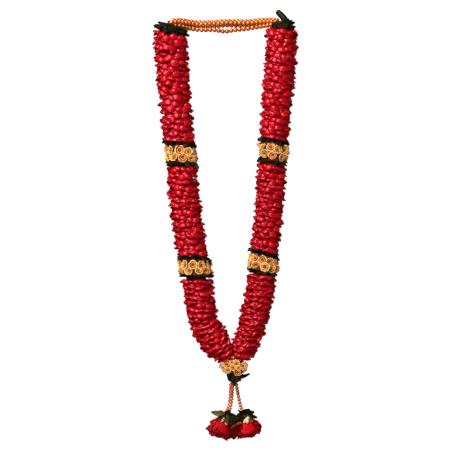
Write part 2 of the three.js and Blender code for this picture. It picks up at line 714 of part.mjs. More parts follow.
/** Everything on one rope: its top ruff, three stretches of petals and two bands of roses between ruffs. */
function dressRope(side, rope, blocks, outerTurn, extraLeaf) {
  const outwards = (turn) => 0.5 + 0.5 * Math.cos(TURN * (turn - outerTurn));
  const flare = (turn) => -TOP_FLARE * Math.max(INNER_FLARE_SHARE, outwards(turn));
  const topRuff = leafRuff(rope, TOP_RUFF.start, TOP_RUFF.end, flare);
  add(`${side}_top_ruff`, "leaf", threaded(extraLeaf ? topRuff.add(extraLeaf) : topRuff));
  const edges = [TOP_RUFF.end, ...blocks.flatMap(({ start, end }) => [start, end]), rope.end];
  for (let i = 0; i < 3; i++) {
    const petals = petalStretch(rope, edges[2 * i] + GAP, edges[2 * i + 1] - GAP);
    const way = side === "left" ? 1 : -1;
    add(`${side}_petals_${i + 1}`, "petal", threaded(i === 2 ? clearOfVee(petals, way) : petals));
  }
  blocks.forEach(({ start, end }, i) => {
    const inner = [start + RUFF_THICKNESS, end - RUFF_THICKNESS];
    add(`${side}_ruff_${i + 1}a`, "leaf", threaded(leafRuff(rope, start, inner[0] - GAP)));
    add(`${side}_roses_${i + 1}`, "cream", threaded(roseBand(rope, ...inner)));
    add(`${side}_ruff_${i + 1}b`, "leaf", threaded(leafRuff(rope, inner[1] + GAP, end)));
  });
}

const { root, way, ...rolledSizes } = ROLLED_LEAF;
const rolledLeaf = leafAt(vec(...root), vec(...way), vec(0, 0, 1), rolledSizes);
dressRope("left", leftRope, LEFT_BLOCKS, 0.5);
dressRope("right", rightRope, RIGHT_BLOCKS, 0, rolledLeaf);

add("cluster_roses", "cream", threaded(roseCluster()));
add("cluster_leaves", "leaf", threaded(clusterLeaves()));
add("cotton_string", "cotton", cottonString());

for (const [name, route] of Object.entries(neckRoutes()))
  add(`neck_beads_${name}`, "bead", beadString(route, NECK_BEAD));

for (const [name, route] of Object.entries(tasselRoutes()))
  add(`tassel_beads_${name}`, "bead", beadString(route, TASSEL_BEAD));

/** A red rose lying on its side, with its stem and leaves. */
function addTasselRose(side, rose, leaves) {
  const { origin, faces } = roseFrame(rose);
  add(`${side}_tassel_rose`, "petal", onSurface(placed(redRose(), origin, faces)));
  add(`${side}_tassel_leaves`, "leaf", roseLeaves(rose, leaves));
}

addTasselRose("left", LEFT_ROSE, LEFT_ROSE_LEAVES);
addTasselRose("right", RIGHT_ROSE, RIGHT_ROSE_LEAVES);

const box = new THREE.Box3().setFromObject(garland);
const middle = box.getCenter(vec(0, 0, 0));
garland.position.set(-middle.x, -middle.y, -box.min.z);

export default garland;
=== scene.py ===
"""A rose petal garland, laid flat on a pale floor.

Two thick ropes of threaded rose petals hang from four strands of gilt beads and meet at a cluster of cream
roses, with a tassel of beads and two red roses below it. Sizes are millimetres in the garland's own frame. A
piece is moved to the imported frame, and scaled to metres, when its mesh is made.
"""

import logging
import math
from dataclasses import dataclass, field
from enum import Enum
from typing import Any, ClassVar, Mapping, Sequence

import bpy
import numpy as np
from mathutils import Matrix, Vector


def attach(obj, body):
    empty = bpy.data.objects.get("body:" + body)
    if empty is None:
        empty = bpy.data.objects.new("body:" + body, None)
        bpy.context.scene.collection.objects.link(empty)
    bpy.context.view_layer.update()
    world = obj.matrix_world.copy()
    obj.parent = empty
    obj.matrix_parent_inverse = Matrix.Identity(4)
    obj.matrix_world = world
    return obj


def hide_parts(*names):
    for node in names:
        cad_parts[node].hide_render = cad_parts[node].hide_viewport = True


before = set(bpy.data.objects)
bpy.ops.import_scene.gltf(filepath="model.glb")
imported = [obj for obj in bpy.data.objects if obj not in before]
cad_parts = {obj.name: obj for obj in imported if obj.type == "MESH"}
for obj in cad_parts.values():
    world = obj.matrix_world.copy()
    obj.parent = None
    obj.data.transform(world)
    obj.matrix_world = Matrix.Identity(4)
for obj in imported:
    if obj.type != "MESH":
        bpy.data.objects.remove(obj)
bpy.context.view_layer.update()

Array = np.ndarray
Random = np.random.Generator
Colour = tuple[float, float, float]
Point = tuple[float, float, float]
Span = tuple[float, float]

LOG = logging.getLogger("garland")
MM = 0.001
TURN = 2 * math.pi
UP = np.array([0.0, 0.0, 1.0])
SHIFT = np.array([-1.85866546630859, 3.43927001953125, 0.0])  # from the garland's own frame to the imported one
SEED = 7

# ---------------------------------------------------------------- the garland's dimensions

REST_SHARE = 0.87  # height of a rope's axis, as a share of its reach
REACH_SETTLES = 0.33  # share of the length over which the reach goes from the neck's to the lower one
LEAN_TURNS: Span = (0.68, 0.95)  # shares of the length between which the rings turn to their lean at the vee
END_TAPER = 24.0  # length over which a rope narrows to the vee
END_SHARE = 0.85  # of its reach that is left there
CORE_SHARE = 0.55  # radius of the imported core, as a share of the reach
RUFF_THICKNESS = 9.5
ROPE_END_MARGIN = 1.0

CLUSTER_CENTRE: Point = (17.0, -270.0, 24.0)
CLUSTER_HALF: Point = (27.0, 18.0, 26.0)
SEAM_TOP: Span = (9.5, -216.0)  # of the seam where the ropes meet
SEAM_FOOT: Span = (18.0, -254.0)

NECK_BEAD = 8.0
TASSEL_BEAD = 6.0
NECK_BINDING_LENGTH = 10.0
NECK_BINDING_RADIUS = 9.5
LEFT_BINDING: Span = (-104.5, 384.8)
RIGHT_BINDING: Span = (108.5, 384.8)
TASSEL_BINDING: Point = (16.5, -303.2, 19.0)
TASSEL_BINDING_LENGTH = 7.0
TASSEL_BINDING_HALF: Span = (11.5, 5.0)
TIE_GAP = 0.8
TIED_OVER = 6.5  # how far the strands lie over the knots that they are tied to
STACK = NECK_BEAD / 2 + 0.2  # half the distance between strands that are tied side by side
TABLE_BEAD = NECK_BEAD / 2 + 0.05  # height of a strand that lies on the floor
RIDING_BEAD = TABLE_BEAD + 7.3  # and of one that lies on two others
STRING_RADIUS = 1.5

ROSE_REST = 22.5  # height of the red roses' middle
STEM_LENGTH = 11.0
STRAND_SPREAD = 3.2

PETAL_WALL = 0.9  # thicknesses
LEAF_WALL = 0.7
CREAM_WALL = 0.55
ROSE_WALL = 0.8
ROSE_RIM = 0.6  # share of the thickness that is left at the rim of a rose's petal
BLADE_SOFTNESS = 2.0  # height at which leaves and roses begin to give way to the floor


# ---------------------------------------------------------------- curves and pressing


class Route:
    """A smooth curve through points, measured by its length."""

    def __init__(self, points: Sequence[Sequence[float]], per_span: int = 60) -> None:
        """Samples the curve.

        Args:
            points: The points that it passes through.
            per_span: Samples between two of them.
        """
        knots = np.asarray(points, float)
        padded = np.vstack([2 * knots[0] - knots[1], knots, 2 * knots[-1] - knots[-2]])
        w = np.linspace(0, 1, per_span, endpoint=False)[:, None]
        spans = []
        for a, b, c, d in zip(padded, padded[1:], padded[2:], padded[3:]):
            ab, bc, cd = (math.sqrt(np.linalg.norm(q - p)) for p, q in ((a, b), (b, c), (c, d)))
            leave = ((b - a) / ab - (c - a) / (ab + bc) + (c - b) / bc) * bc
            reach = ((c - b) / bc - (d - b) / (bc + cd) + (d - c) / cd) * bc
            square = 3 * (c - b) - 2 * leave - reach
            cube = 2 * (b - c) + leave + reach
            spans.append(b + leave * w + square * w**2 + cube * w**3)
        self.samples = np.vstack([*spans, knots[-1:]])
        steps = np.linalg.norm(np.diff(self.samples, axis=0), axis=1)
        self.marks = np.concatenate([[0.0], np.cumsum(steps)])
        self.length = float(self.marks[-1])

    def at(self, s: Array) -> Array:
        """Points at distances along the curve.

        Args:
            s: Distances, of any shape.

        Returns:
            Their points, with one more axis.
        """
        return np.stack([np.interp(s, self.marks, axis) for axis in self.samples.T], axis=-1)

    def run(self, s: Array) -> Array:
        """Unit tangents at distances along the curve.

        Args:
            s: Distances, of any shape.

        Returns:
            Their tangents, with one more axis.
        """
        step = self.length / 400
        low = np.clip(np.asarray(s, float) - step, 0, self.length - 2 * step)
        return unit(self.at(low + 2 * step) - self.at(low))


def unit(vectors: Array) -> Array:
    """Vectors scaled to a length of 1."""
    return vectors / np.maximum(np.linalg.norm(vectors, axis=-1, keepdims=True), 1e-9)


def smooth(x: Array | float, low: float, high: float) -> Array:
    """A smooth step from 0 at `low` to 1 at `high`."""
    t = np.clip((np.asarray(x, float) - low) / (high - low), 0, 1)
    return t * t * (3 - 2 * t)


def spread(rng: Random, pair: Span, count: int) -> Array:
    """Random numbers about a mean, given as the mean and the most that they differ from it."""
    return pair[0] + pair[1] * rng.uniform(-1, 1, count)


def sampled(values: Array, at: Array) -> Array:
    """Values read between their samples.

    Args:
        values: The samples, by petal.
        at: Places among them, by petal.

    Returns:
        The values there.
    """
    low = np.minimum(at.astype(int), values.shape[-1] - 2)
    first, second = (np.take_along_axis(values, low + step, axis=1) for step in (0, 1))
    return first + (second - first) * (at - low)


def pressed(height: Array, softness: float) -> Array:
    """Heights above a surface, squeezed so that none goes below it.

    Args:
        height: Heights, which may be negative.
        softness: The height from which they begin to give way.

    Returns:
        Heights above 0, in the same order as before.
    """
    squeezed = softness * np.exp(np.minimum(height, softness) / softness - 1)
    return np.where(height < softness, squeezed, height)


def ring_round(run: Array, turn: Array) -> Array:
    """Unit vectors that turn round a run.

    Args:
        run: One run, or several.
        turn: Angles from the run's level side.

    Returns:
        The vectors, by run and angle.
    """
    side = unit(np.cross(run, UP))
    up = np.cross(side, run)
    return side[..., None, :] * np.cos(turn)[:, None] + up[..., None, :] * np.sin(turn)[:, None]


def full_turn(sides: int) -> Array:
    """Angles evenly round a ring."""
    return TURN * np.arange(sides) / sides


def on_floor(points: Array, softness: float = 3.0) -> Array:
    """Points pressed flat where they would reach below the floor."""
    return np.concatenate([points[..., :2], pressed(points[..., 2:], softness)], axis=-1)


def clear_of_cluster(points: Array, softness: float = 3.0) -> Array:
    """Points pressed out of the space that the rose cluster takes.

    Args:
        points: The points.
        softness: How far from the cluster they begin to give way.

    Returns:
        The moved points.
    """
    centre, half = np.array(CLUSTER_CENTRE), np.array(CLUSTER_HALF)
    from_centre = points - centre
    share = np.linalg.norm(from_centre / half, axis=-1, keepdims=True)
    size = sum(CLUSTER_HALF) / 3
    return centre + from_centre * (1 + pressed((share - 1) * size, softness) / size) / share


def clear_of_seam(points: Array, side: float, softness: float = 2.5) -> Array:
    """Points of a rope kept on its own side of the seam where both ropes meet.

    Args:
        points: The points.
        side: 1 for the left rope and -1 for the right one.
        softness: How far from the seam they begin to give way.

    Returns:
        The moved points.
    """
    run = unit(np.array(SEAM_FOOT) - np.array(SEAM_TOP))
    normal = side * np.array([run[1], -run[0], 0.0])
    distance = (points[..., :2] - np.array(SEAM_TOP)) @ normal[:2]
    return points + (pressed(distance, softness) - distance)[..., None] * normal


# ---------------------------------------------------------------- meshes


@dataclass
class Heap:
    """Closed surfaces gathered for one piece."""

    points: list[Array] = field(default_factory=list)
    marks: list[Array] = field(default_factory=list)
    faces: list[Array] = field(default_factory=list)
    count: int = 0

    def _add(self, points: Array, marks: Array, faces: Array) -> None:
        """Adds points and faces.

        Args:
            points: The points.
            marks: Four numbers for each point.
            faces: Faces of 3 or 4 corners that count from the first of the points.
        """
        self.points.append(points.reshape(-1, 3))
        self.marks.append(marks.reshape(-1, 4))
        self.faces.append(faces + self.count)
        self.count += len(self.points[-1])

    def blades(self, grid: Array, marks: Array, thickness: float, rim: float = 0.45) -> None:
        """Adds thin closed blades.

        Args:
            grid: Points of their middle surfaces, by blade, row and column.
            marks: Four numbers for each point, which the finishes read.
            thickness: Of a blade, in its middle.
            rim: The share of the thickness that is left at its edge.
        """
        blades, rows, columns, _ = grid.shape
        normal = unit(np.cross(np.gradient(grid, axis=1), np.gradient(grid, axis=2)))
        share = np.full((rows, columns), rim)
        share[1:-1, 1:-1] = 1
        offset = normal * (thickness / 2 * share)[None, :, :, None]
        sides = np.stack([grid + offset, grid - offset], axis=1)
        i = np.arange(rows * columns).reshape(rows, columns)
        front = np.stack([i[:-1, :-1], i[1:, :-1], i[1:, 1:], i[:-1, 1:]], axis=-1).reshape(-1, 4)
        loop = np.concatenate([i[0, :-1], i[:-1, -1], i[-1, :0:-1], i[:0:-1, 0]])
        after = np.roll(loop, -1)
        back = rows * columns
        edge = np.stack([loop, after, after + back, loop + back], axis=-1)
        one = np.concatenate([front, front[:, ::-1] + back, edge])
        faces = one[None] + (np.arange(blades) * 2 * back)[:, None, None]
        self._add(sides, np.stack([marks, marks], axis=1), faces.reshape(-1, 4))

    def tube(self, grid: Array, marks: Array | Sequence[float]) -> None:
        """Adds a closed tube with flat ends.

        Args:
            grid: Its points, by row and column, with the columns turning right-handed round its run.
            marks: Four numbers for each point, or for all of them.
        """
        rows, columns, _ = grid.shape
        marks = np.broadcast_to(np.asarray(marks, float), (rows, columns, 4))
        i = np.arange(rows * columns).reshape(rows, columns)
        j = np.roll(i, -1, axis=1)
        wall = np.stack([i[:-1], j[:-1], j[1:], i[1:]], axis=-1).reshape(-1, 4)
        self._add(grid, marks, wall)
        first = self.count - rows * columns
        for row, flip in ((0, True), (-1, False)):
            self._add(grid[row].mean(axis=0), marks[row].mean(axis=0), np.zeros((0, 3), int))
            centre = np.full(columns, self.count - 1)
            ring, after = i[row] + first, j[row] + first
            fan = (ring, centre, after) if flip else (ring, after, centre)
            self.faces.append(np.stack(fan, axis=-1))

    def piece(self, node: str, finish: "Finish") -> bpy.types.Object:
        """Makes the piece that stands for a node.

        Args:
            node: The node that it replaces.
            finish: Its finish.

        Returns:
            The piece, riding on the garland.
        """
        name, slot = f"{node}_fine", finish.slot
        points = (np.concatenate(self.points) + SHIFT) * MM
        marks = np.concatenate(self.marks)
        corners = np.concatenate([f.ravel() for f in self.faces]).astype(np.int32)
        sizes = np.concatenate([np.full(len(f), f.shape[-1]) for f in self.faces]).astype(np.int32)
        starts = np.concatenate([[0], np.cumsum(sizes)[:-1]]).astype(np.int32)
        mesh = bpy.data.meshes.new(name)
        mesh.vertices.add(len(points))
        mesh.vertices.foreach_set("co", points.astype(np.float32).ravel())
        mesh.loops.add(len(corners))
        mesh.loops.foreach_set("vertex_index", corners)
        mesh.polygons.add(len(sizes))
        mesh.polygons.foreach_set("loop_start", starts)
        mesh.polygons.foreach_set("loop_total", sizes)
        mesh.polygons.foreach_set("use_smooth", np.ones(len(sizes), bool))
        blade = mesh.attributes.new("blade", "FLOAT_COLOR", "POINT")
        blade.data.foreach_set("color", marks.astype(np.float32).ravel())
        mesh.update(calc_edges=True)
        mesh.validate()
        mesh.materials.append(material_of(finish))
        piece = bpy.data.objects.new(name, mesh)
        bpy.context.scene.collection.objects.link(piece)
        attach(piece, "root")
        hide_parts(node)
        LOG.info("%s: %d triangles", name, (sizes - 2).sum())
        return piece


def marks_of(rows: Array, columns: Array, tint: Array, layer: Array | float) -> Array:
    """The four numbers of each point of a batch of blades.

    Args:
        rows: Shares from base to tip, by row.
        columns: From -1 at one edge to 1 at the other, by column.
        tint: One number for each blade.
        layer: One number for each blade, or for all of them.

    Returns:
        The marks, by blade, row and column.
    """
    shape = (len(tint), len(rows), len(columns))
    layers = np.broadcast_to(np.asarray(layer, float).reshape(-1, 1, 1), (len(tint), 1, 1))
    parts = (
        rows[None, :, None],
        (columns[None, None, :] + 1) / 2,
        np.asarray(tint, float)[:, None, None],
        layers,
    )
    return np.stack([np.broadcast_to(part, shape) for part in parts], axis=-1)


# What all points of a plain surface are marked with: share from base to tip, share across, tint and layer
# The rope's core takes a share of the deep colour: painted shade between the petals' feet
PETAL_CORE_MARKS = (0.0, 0.5, 0.1, 0.5)
LEAF_CORE_MARKS = (0.3, 0.8, 0.0, 0.0)
# The cream roses' packed bases take the painted shade colour, for the gaps between the roses
ROSE_CORE_MARKS = (0.0, 0.5, 0.5, 1.0)
STEM_MARKS = (0.4, 0.8, 0.9, 0.12)
NECK_MARKS = (0.4, 0.8, 0.2, 0.05)


# ---------------------------------------------------------------- shader trees


@dataclass
class Signal:
    """A shader socket that Python's operators work on."""

    tree: "Tree"
    socket: bpy.types.NodeSocket

    def _math(self, operation: str, *values: "Signal | float") -> "Signal":
        """The result of a Math node."""
        node = self.tree.node("ShaderNodeMath", {"operation": operation}, dict(enumerate(values)))
        return Signal(self.tree, node.outputs[0])

    def __add__(self, other: "Signal | float") -> "Signal":
        """The sum."""
        return self._math("ADD", self, other)

    __radd__ = __add__

    def __sub__(self, other: "Signal | float") -> "Signal":
        """The difference."""
        return self._math("SUBTRACT", self, other)

    def __rsub__(self, other: float) -> "Signal":
        """The difference, the other way round."""
        return self._math("SUBTRACT", other, self)

    def __mul__(self, other: "Signal | float") -> "Signal":
        """The product."""
        return self._math("MULTIPLY", self, other)

    __rmul__ = __mul__

    def __pow__(self, other: float) -> "Signal":
        """The power."""
        return self._math("POWER", self, other)

    def __abs__(self) -> "Signal":
        """The size, without its sign."""
        return self._math("ABSOLUTE", self)

    def sine(self) -> "Signal":
        """The sine."""
        return self._math("SINE", self)

    def step(self, low: float, high: float) -> "Signal":
        """A smooth step.

        Args:
            low: Where it is 0.
            high: Where it is 1.

        Returns:
            The step.
        """
        settings = {"interpolation_type": "SMOOTHSTEP"}
        node = self.tree.node("ShaderNodeMapRange", settings, {"Value": self, 1: low, 2: high})
        return Signal(self.tree, node.outputs[0])


class Tree:
    """The nodes of one material."""

    def __init__(self, name: str) -> None:
        """Starts an empty material.

        Args:
            name: Of the material.
        """
        self.material = bpy.data.materials.new(name)
        self.material.use_nodes = True
        self.nodes = self.material.node_tree.nodes
        self.nodes.clear()

    def node(
        self, kind: str, settings: Mapping[str, Any] | None = None, inputs: Mapping[Any, Any] | None = None
    ) -> bpy.types.Node:
        """Adds a node.

        Args:
            kind: The node's type.
            settings: Its properties, which are set first.
            inputs: Values or links of its sockets, by name or number.

        Returns:
            The node.
        """
        node = self.nodes.new(kind)
        for key, value in (settings or {}).items():
            setattr(node, key, value)
        for key, value in (inputs or {}).items():
            if isinstance(value, Signal):
                value = value.socket
            if isinstance(value, bpy.types.NodeSocket):
                self.material.node_tree.links.new(value, node.inputs[key])
            else:
                node.inputs[key].default_value = value
        return node

    def blade(self) -> tuple[Signal, Signal, Signal, Signal]:
        """What each point of a blade is marked with.

        Returns:
            Share from base to tip, share across, tint and layer.
        """
        marks = self.node("ShaderNodeAttribute", {"attribute_name": "blade"})
        parts = self.node("ShaderNodeSeparateColor", {}, {0: marks.outputs["Color"]})
        signals = [Signal(self, s) for s in (*parts.outputs, marks.outputs["Alpha"])]
        return signals[0], signals[1], signals[2], signals[3]

    def noise(self, scale: float, detail: float) -> Signal:
        """Soft noise in the piece's own space.

        Args:
            scale: Of the noise, per metre.
            detail: Octaves.

        Returns:
            The noise, about 0.5.
        """
        where = self.node("ShaderNodeTexCoord").outputs["Object"]
        node = self.node("ShaderNodeTexNoise", {}, {"Vector": where, "Scale": scale, "Detail": detail})
        return Signal(self, node.outputs["Fac"])

    def mix(self, share: Signal | float, a: Any, b: Any, blend: str = "MIX") -> Signal:
        """A mix of two colours.

        Args:
            share: Of the second colour.
            a: The first colour.
            b: The second colour.
            blend: How they are mixed.

        Returns:
            The colour.
        """
        a, b = ((*c, 1.0) if isinstance(c, tuple) else c for c in (a, b))
        settings = {"data_type": "RGBA", "blend_type": blend}
        node = self.node("ShaderNodeMix", settings, {0: share, 6: a, 7: b})
        return Signal(self, node.outputs[2])

    def bump(self, height: Signal, distance: float) -> Signal:
        """A normal that is raised by a height.

        Args:
            height: The height.
            distance: What a height of 1 stands for, in metres.

        Returns:
            The normal.
        """
        node = self.node("ShaderNodeBump", {}, {"Height": height, "Distance": distance, "Strength": 1.0})
        return Signal(self, node.outputs[0])

    def finish(self, **inputs: Any) -> bpy.types.Material:
        """Ends the material in one surface shader.

        Args:
            inputs: The shader's sockets, with _ for a space.

        Returns:
            The material.
        """
        named = {name.replace("_", " "): value for name, value in inputs.items()}
        shader = self.node("ShaderNodeBsdfPrincipled", {}, named)
        self.node("ShaderNodeOutputMaterial", {}, {"Surface": shader.outputs[0]})
        return self.material


# ---------------------------------------------------------------- finishes


@dataclass(frozen=True)
class PetalFinish:
    """A red petal: deep at its base, a darker rim that is partly its own edge and partly painted shade, painted
    light along its fold, and fine veins.
    """

    name: str
    base: Colour
    deep: Colour
    body: Colour
    # bright is painted light along the fold; rim is the petal's darker edge, deepened with painted shade
    bright: Colour
    rim: Colour
    base_ends: float = 0.2  # share of the length at which its foot's colour is gone
    veins: float = 9.0  # on each side
    rim_starts: float = 0.9
    rim_depth: float = 0.45
    roughness: float = 0.27
    gloss: float = 0.45
    mottle_scale: float = 160.0  # per metre, as every scale here
    grain_scale: float = 1400.0
    relief: float = 0.0003  # in metres

    def material(self) -> bpy.types.Material:
        """Makes the material.

        Returns:
            The material.
        """
        tree = Tree(self.name)
        along, across, tint, core = tree.blade()
        side = abs(across * 2.0 - 1.0)
        mottle = tree.noise(self.mottle_scale, 3.0)
        vein = abs(((across * 2.0 - 1.0) * (math.pi * self.veins) + mottle * 5.0).sine()) ** 3.0
        colour = tree.mix((tint * 0.8 + mottle * 0.7 - 0.25).step(0.0, 1.0), self.deep, self.body)
        # Painted light: brighter along the fold towards the tip, less towards the sides
        lit = (along.step(0.45, 0.95) * (1.0 - side * 0.6)) * (tint * 0.7 + 0.2)
        colour = tree.mix(lit, colour, self.bright)
        colour = tree.mix(vein * 0.16, colour, self.deep)
        # A darker rim at the sides and tip: partly the petal's own darker edge, partly painted shade
        edge = side.step(0.72, 1.0) * 0.75 + along.step(self.rim_starts, 1.0) * self.rim_depth
        colour = tree.mix(edge * 0.8, colour, self.rim)
        colour = tree.mix(1.0 - along.step(0.02, self.base_ends), colour, self.base)
        # The fourth mark multiplies in the deep colour: painted shade on the rope's core and on loose red
        # petals between the roses
        colour = tree.mix(core, colour, self.deep, "MULTIPLY")
        grain = tree.noise(self.grain_scale, 2.0)
        height = vein * -0.2 + grain * 0.12 + mottle * 0.8
        return tree.finish(
            Base_Color=colour,
            Roughness=mottle * 0.2 + (self.roughness - 0.1),
            Normal=tree.bump(height, self.relief),
            Specular_Tint=(1.0, 0.36, 0.45, 1.0),
            Specular_IOR_Level=self.gloss,
        )


@dataclass(frozen=True)
class CreamFinish:
    """A cream rose: brown painted shade in its depths, an ochre heart, golden petals with pale rims that are
    partly painted light, and peach outside.
    """

    name: str
    # shade is painted shade, for the depths of the roses and their packed bases
    shade: Colour = (0.085, 0.007, 0.0006)
    heart: Colour = (0.60, 0.13, 0.002)
    gold: Colour = (0.94, 0.44, 0.070)
    peach: Colour = (0.90, 0.24, 0.060)
    pale: Colour = (1.0, 0.88, 0.52)
    mottle_scale: float = 220.0
    veins: float = 22.0  # radians of their wave from its middle to an edge
    relief: float = 0.0002

    def material(self) -> bpy.types.Material:
        """Makes the material.

        Returns:
            The material.
        """
        tree = Tree(self.name)
        along, across, tint, layer = tree.blade()
        side = across * 2.0 - 1.0
        mottle = tree.noise(self.mottle_scale, 3.0)
        vein = abs((side * self.veins + mottle * 4.0).sine()) ** 3.0
        body = tree.mix(layer.step(0.2, 0.9) * tint, self.gold, self.peach)
        body = tree.mix(layer.step(0.0, 0.35), self.heart, body)
        # Painted shade: darker down each petal towards its base, deep in the rose
        colour = tree.mix(along.step(0.42, 0.88), self.shade, body)
        # Pale rims: partly the petals' own paler edges, partly painted light where the rims catch the light
        rim = along.step(0.84, 1.0) * (mottle * 0.8 + 0.45) * layer.step(0.2, 0.9)
        colour = tree.mix(rim, colour, self.pale)
        colour = tree.mix(vein * 0.14, colour, self.peach)
        return tree.finish(
            Base_Color=colour,
            Roughness=mottle * 0.2 + 0.36,
            Normal=tree.bump(vein * -0.2 + mottle, self.relief),
            Specular_Tint=(1.0, 0.6, 0.3, 1.0),
            Specular_IOR_Level=0.12,
        )


@dataclass(frozen=True)
class LeafFinish:
    """A dark rose leaf: near black, with olive streaks, a paler rib and a waxy gloss."""

    name: str
    dark: Colour = (0.001, 0.0018, 0.0004)
    green: Colour = (0.006, 0.009, 0.0015)
    olive: Colour = (0.36, 0.26, 0.08)
    rib: Colour = (0.03, 0.033, 0.008)
    mottle_scale: float = 130.0
    relief: float = 0.0006

    def material(self) -> bpy.types.Material:
        """Makes the material.

        Returns:
            The material.
        """
        tree = Tree(self.name)
        along, across, tint, layer = tree.blade()
        side = abs(across * 2.0 - 1.0)
        mottle = tree.noise(self.mottle_scale, 4.0)
        herringbone = abs(((along * 1.6 - side) * 34.0 + mottle * 3.0).sine()) ** 5.0
        colour = tree.mix((mottle * 1.5 + tint * 0.6 - 0.75).step(0.0, 0.7), self.dark, self.green)
        colour = tree.mix(layer, colour, self.olive)
        colour = tree.mix(herringbone * 0.25 + (1.0 - side.step(0.0, 0.12)) * 0.5, colour, self.rib)
        height = herringbone * -0.5 - (1.0 - side.step(0.0, 0.15)) + mottle * 0.4
        return tree.finish(
            Base_Color=colour,
            Roughness=mottle * 0.3 + 0.3,
            Normal=tree.bump(height, self.relief),
            Specular_Tint=(1.0, 1.0, 0.5, 1.0),
            Specular_IOR_Level=0.2,
        )


@dataclass(frozen=True)
class GiltFinish:
    """A gilt bead: a warm metallic skin with a little wear, darkened towards the thread with painted shade
    where beads meet.
    """

    name: str
    gold: Colour = (0.80, 0.21, 0.014)
    copper: Colour = (0.96, 0.34, 0.13)
    worn: Colour = (0.62, 0.10, 0.003)
    thread: Colour = (0.20, 0.016, 0.001)
    mottle_scale: float = 420.0
    relief: float = 0.0001

    def material(self) -> bpy.types.Material:
        """Makes the material.

        Returns:
            The material.
        """
        tree = Tree(self.name)
        _, ruddy, tint, layer = tree.blade()
        mottle = tree.noise(self.mottle_scale, 3.0)
        colour = tree.mix(ruddy, self.gold, self.copper)
        colour = tree.mix((mottle * 1.2 + tint * 0.5 - 0.5).step(0.0, 1.0), colour, self.worn)
        # The thread keeps its own dark colour; near the holes each bead fades towards it, as painted shade
        # where beads meet
        colour = tree.mix(layer, colour, self.thread)
        return tree.finish(
            Base_Color=colour,
            Metallic=(1.0 - layer) * 0.7,
            Roughness=mottle * 0.16 + layer * 0.3 + 0.38,
            Coat_Weight=(1.0 - layer) * 0.9,
            Coat_Roughness=0.24,
            Normal=tree.bump(mottle, self.relief),
        )


@dataclass(frozen=True)
class CottonFinish:
    """Wound thread."""

    name: str
    pale: Colour = (0.12, 0.050, 0.022)
    dark: Colour = (0.035, 0.012, 0.006)
    fibre_scale: float = 2600.0
    relief: float = 0.0004

    def material(self) -> bpy.types.Material:
        """Makes the material.

        Returns:
            The material.
        """
        tree = Tree(self.name)
        along, across, tint, _ = tree.blade()
        fibre = tree.noise(self.fibre_scale, 3.0)
        ply = abs((along * 60.0 + across * 12.0 + fibre * 2.0).sine())
        colour = tree.mix(ply * 0.6 + tint * 0.2, self.dark, self.pale)
        normal = tree.bump(ply + fibre * 0.3, self.relief)
        return tree.finish(Base_Color=colour, Roughness=0.85, Normal=normal)


class Finish(Enum):
    """The finishes of the garland."""

    # bright is painted light along the fold; rim is a darker edge deepened with painted shade
    ROPE_PETALS = PetalFinish(
        "threaded_petals",
        base=(0.52, 0.0004, 0.0018),
        deep=(0.50, 0.0002, 0.0015),
        body=(0.40, 0.0005, 0.0050),
        bright=(0.48, 0.0030, 0.018),
        rim=(0.18, 0.0002, 0.005),
    )
    # bright is painted light along the fold; rim is a darker edge deepened with painted shade
    ROSE_PETALS = PetalFinish(
        "red_rose_petals",
        base=(0.72, 0.70, 0.42),
        deep=(0.34, 0.0002, 0.0012),
        body=(0.86, 0.0008, 0.0060),
        bright=(0.92, 0.002, 0.012),
        rim=(0.07, 0.0003, 0.003),
        base_ends=0.22,
        veins=14.0,
        rim_starts=0.66,
        rim_depth=0.85,
        roughness=0.46,
        gloss=0.12,
    )
    CREAM_PETALS = CreamFinish("cream_petals")
    DARK_LEAVES = LeafFinish("dark_leaf")
    GILT_BEADS = GiltFinish("gilt")
    COTTON = CottonFinish("wound_thread")

    @property
    def slot(self) -> str:
        """Its name in lower case."""
        return self.name.lower()


MATERIALS: dict[Finish, bpy.types.Material] = {}


def material_of(finish: Finish) -> bpy.types.Material:
    """The material of a finish, made when it is first asked for.

    Args:
        finish: The finish.

    Returns:
        Its material.
    """
    if finish not in MATERIALS:
        MATERIALS[finish] = finish.value.material()
    return MATERIALS[finish]


class Piece:
    """A sub-assembly that is made as one piece."""

    finish: ClassVar[Finish]
    seed: int  # of its small differences

    def fill(self, heap: Heap, rng: Random) -> None:
        """Adds its surfaces to a heap. Each kind of piece has its own."""
        raise NotImplementedError

    def build(self, node: str) -> bpy.types.Object:
        """Makes the piece that stands for a node.

        Args:
            node: The node.

        Returns:
            The piece.
        """
        heap = Heap()
        self.fill(heap, np.random.default_rng(self.seed))
        return heap.piece(node, self.finish)


# ---------------------------------------------------------------- ropes


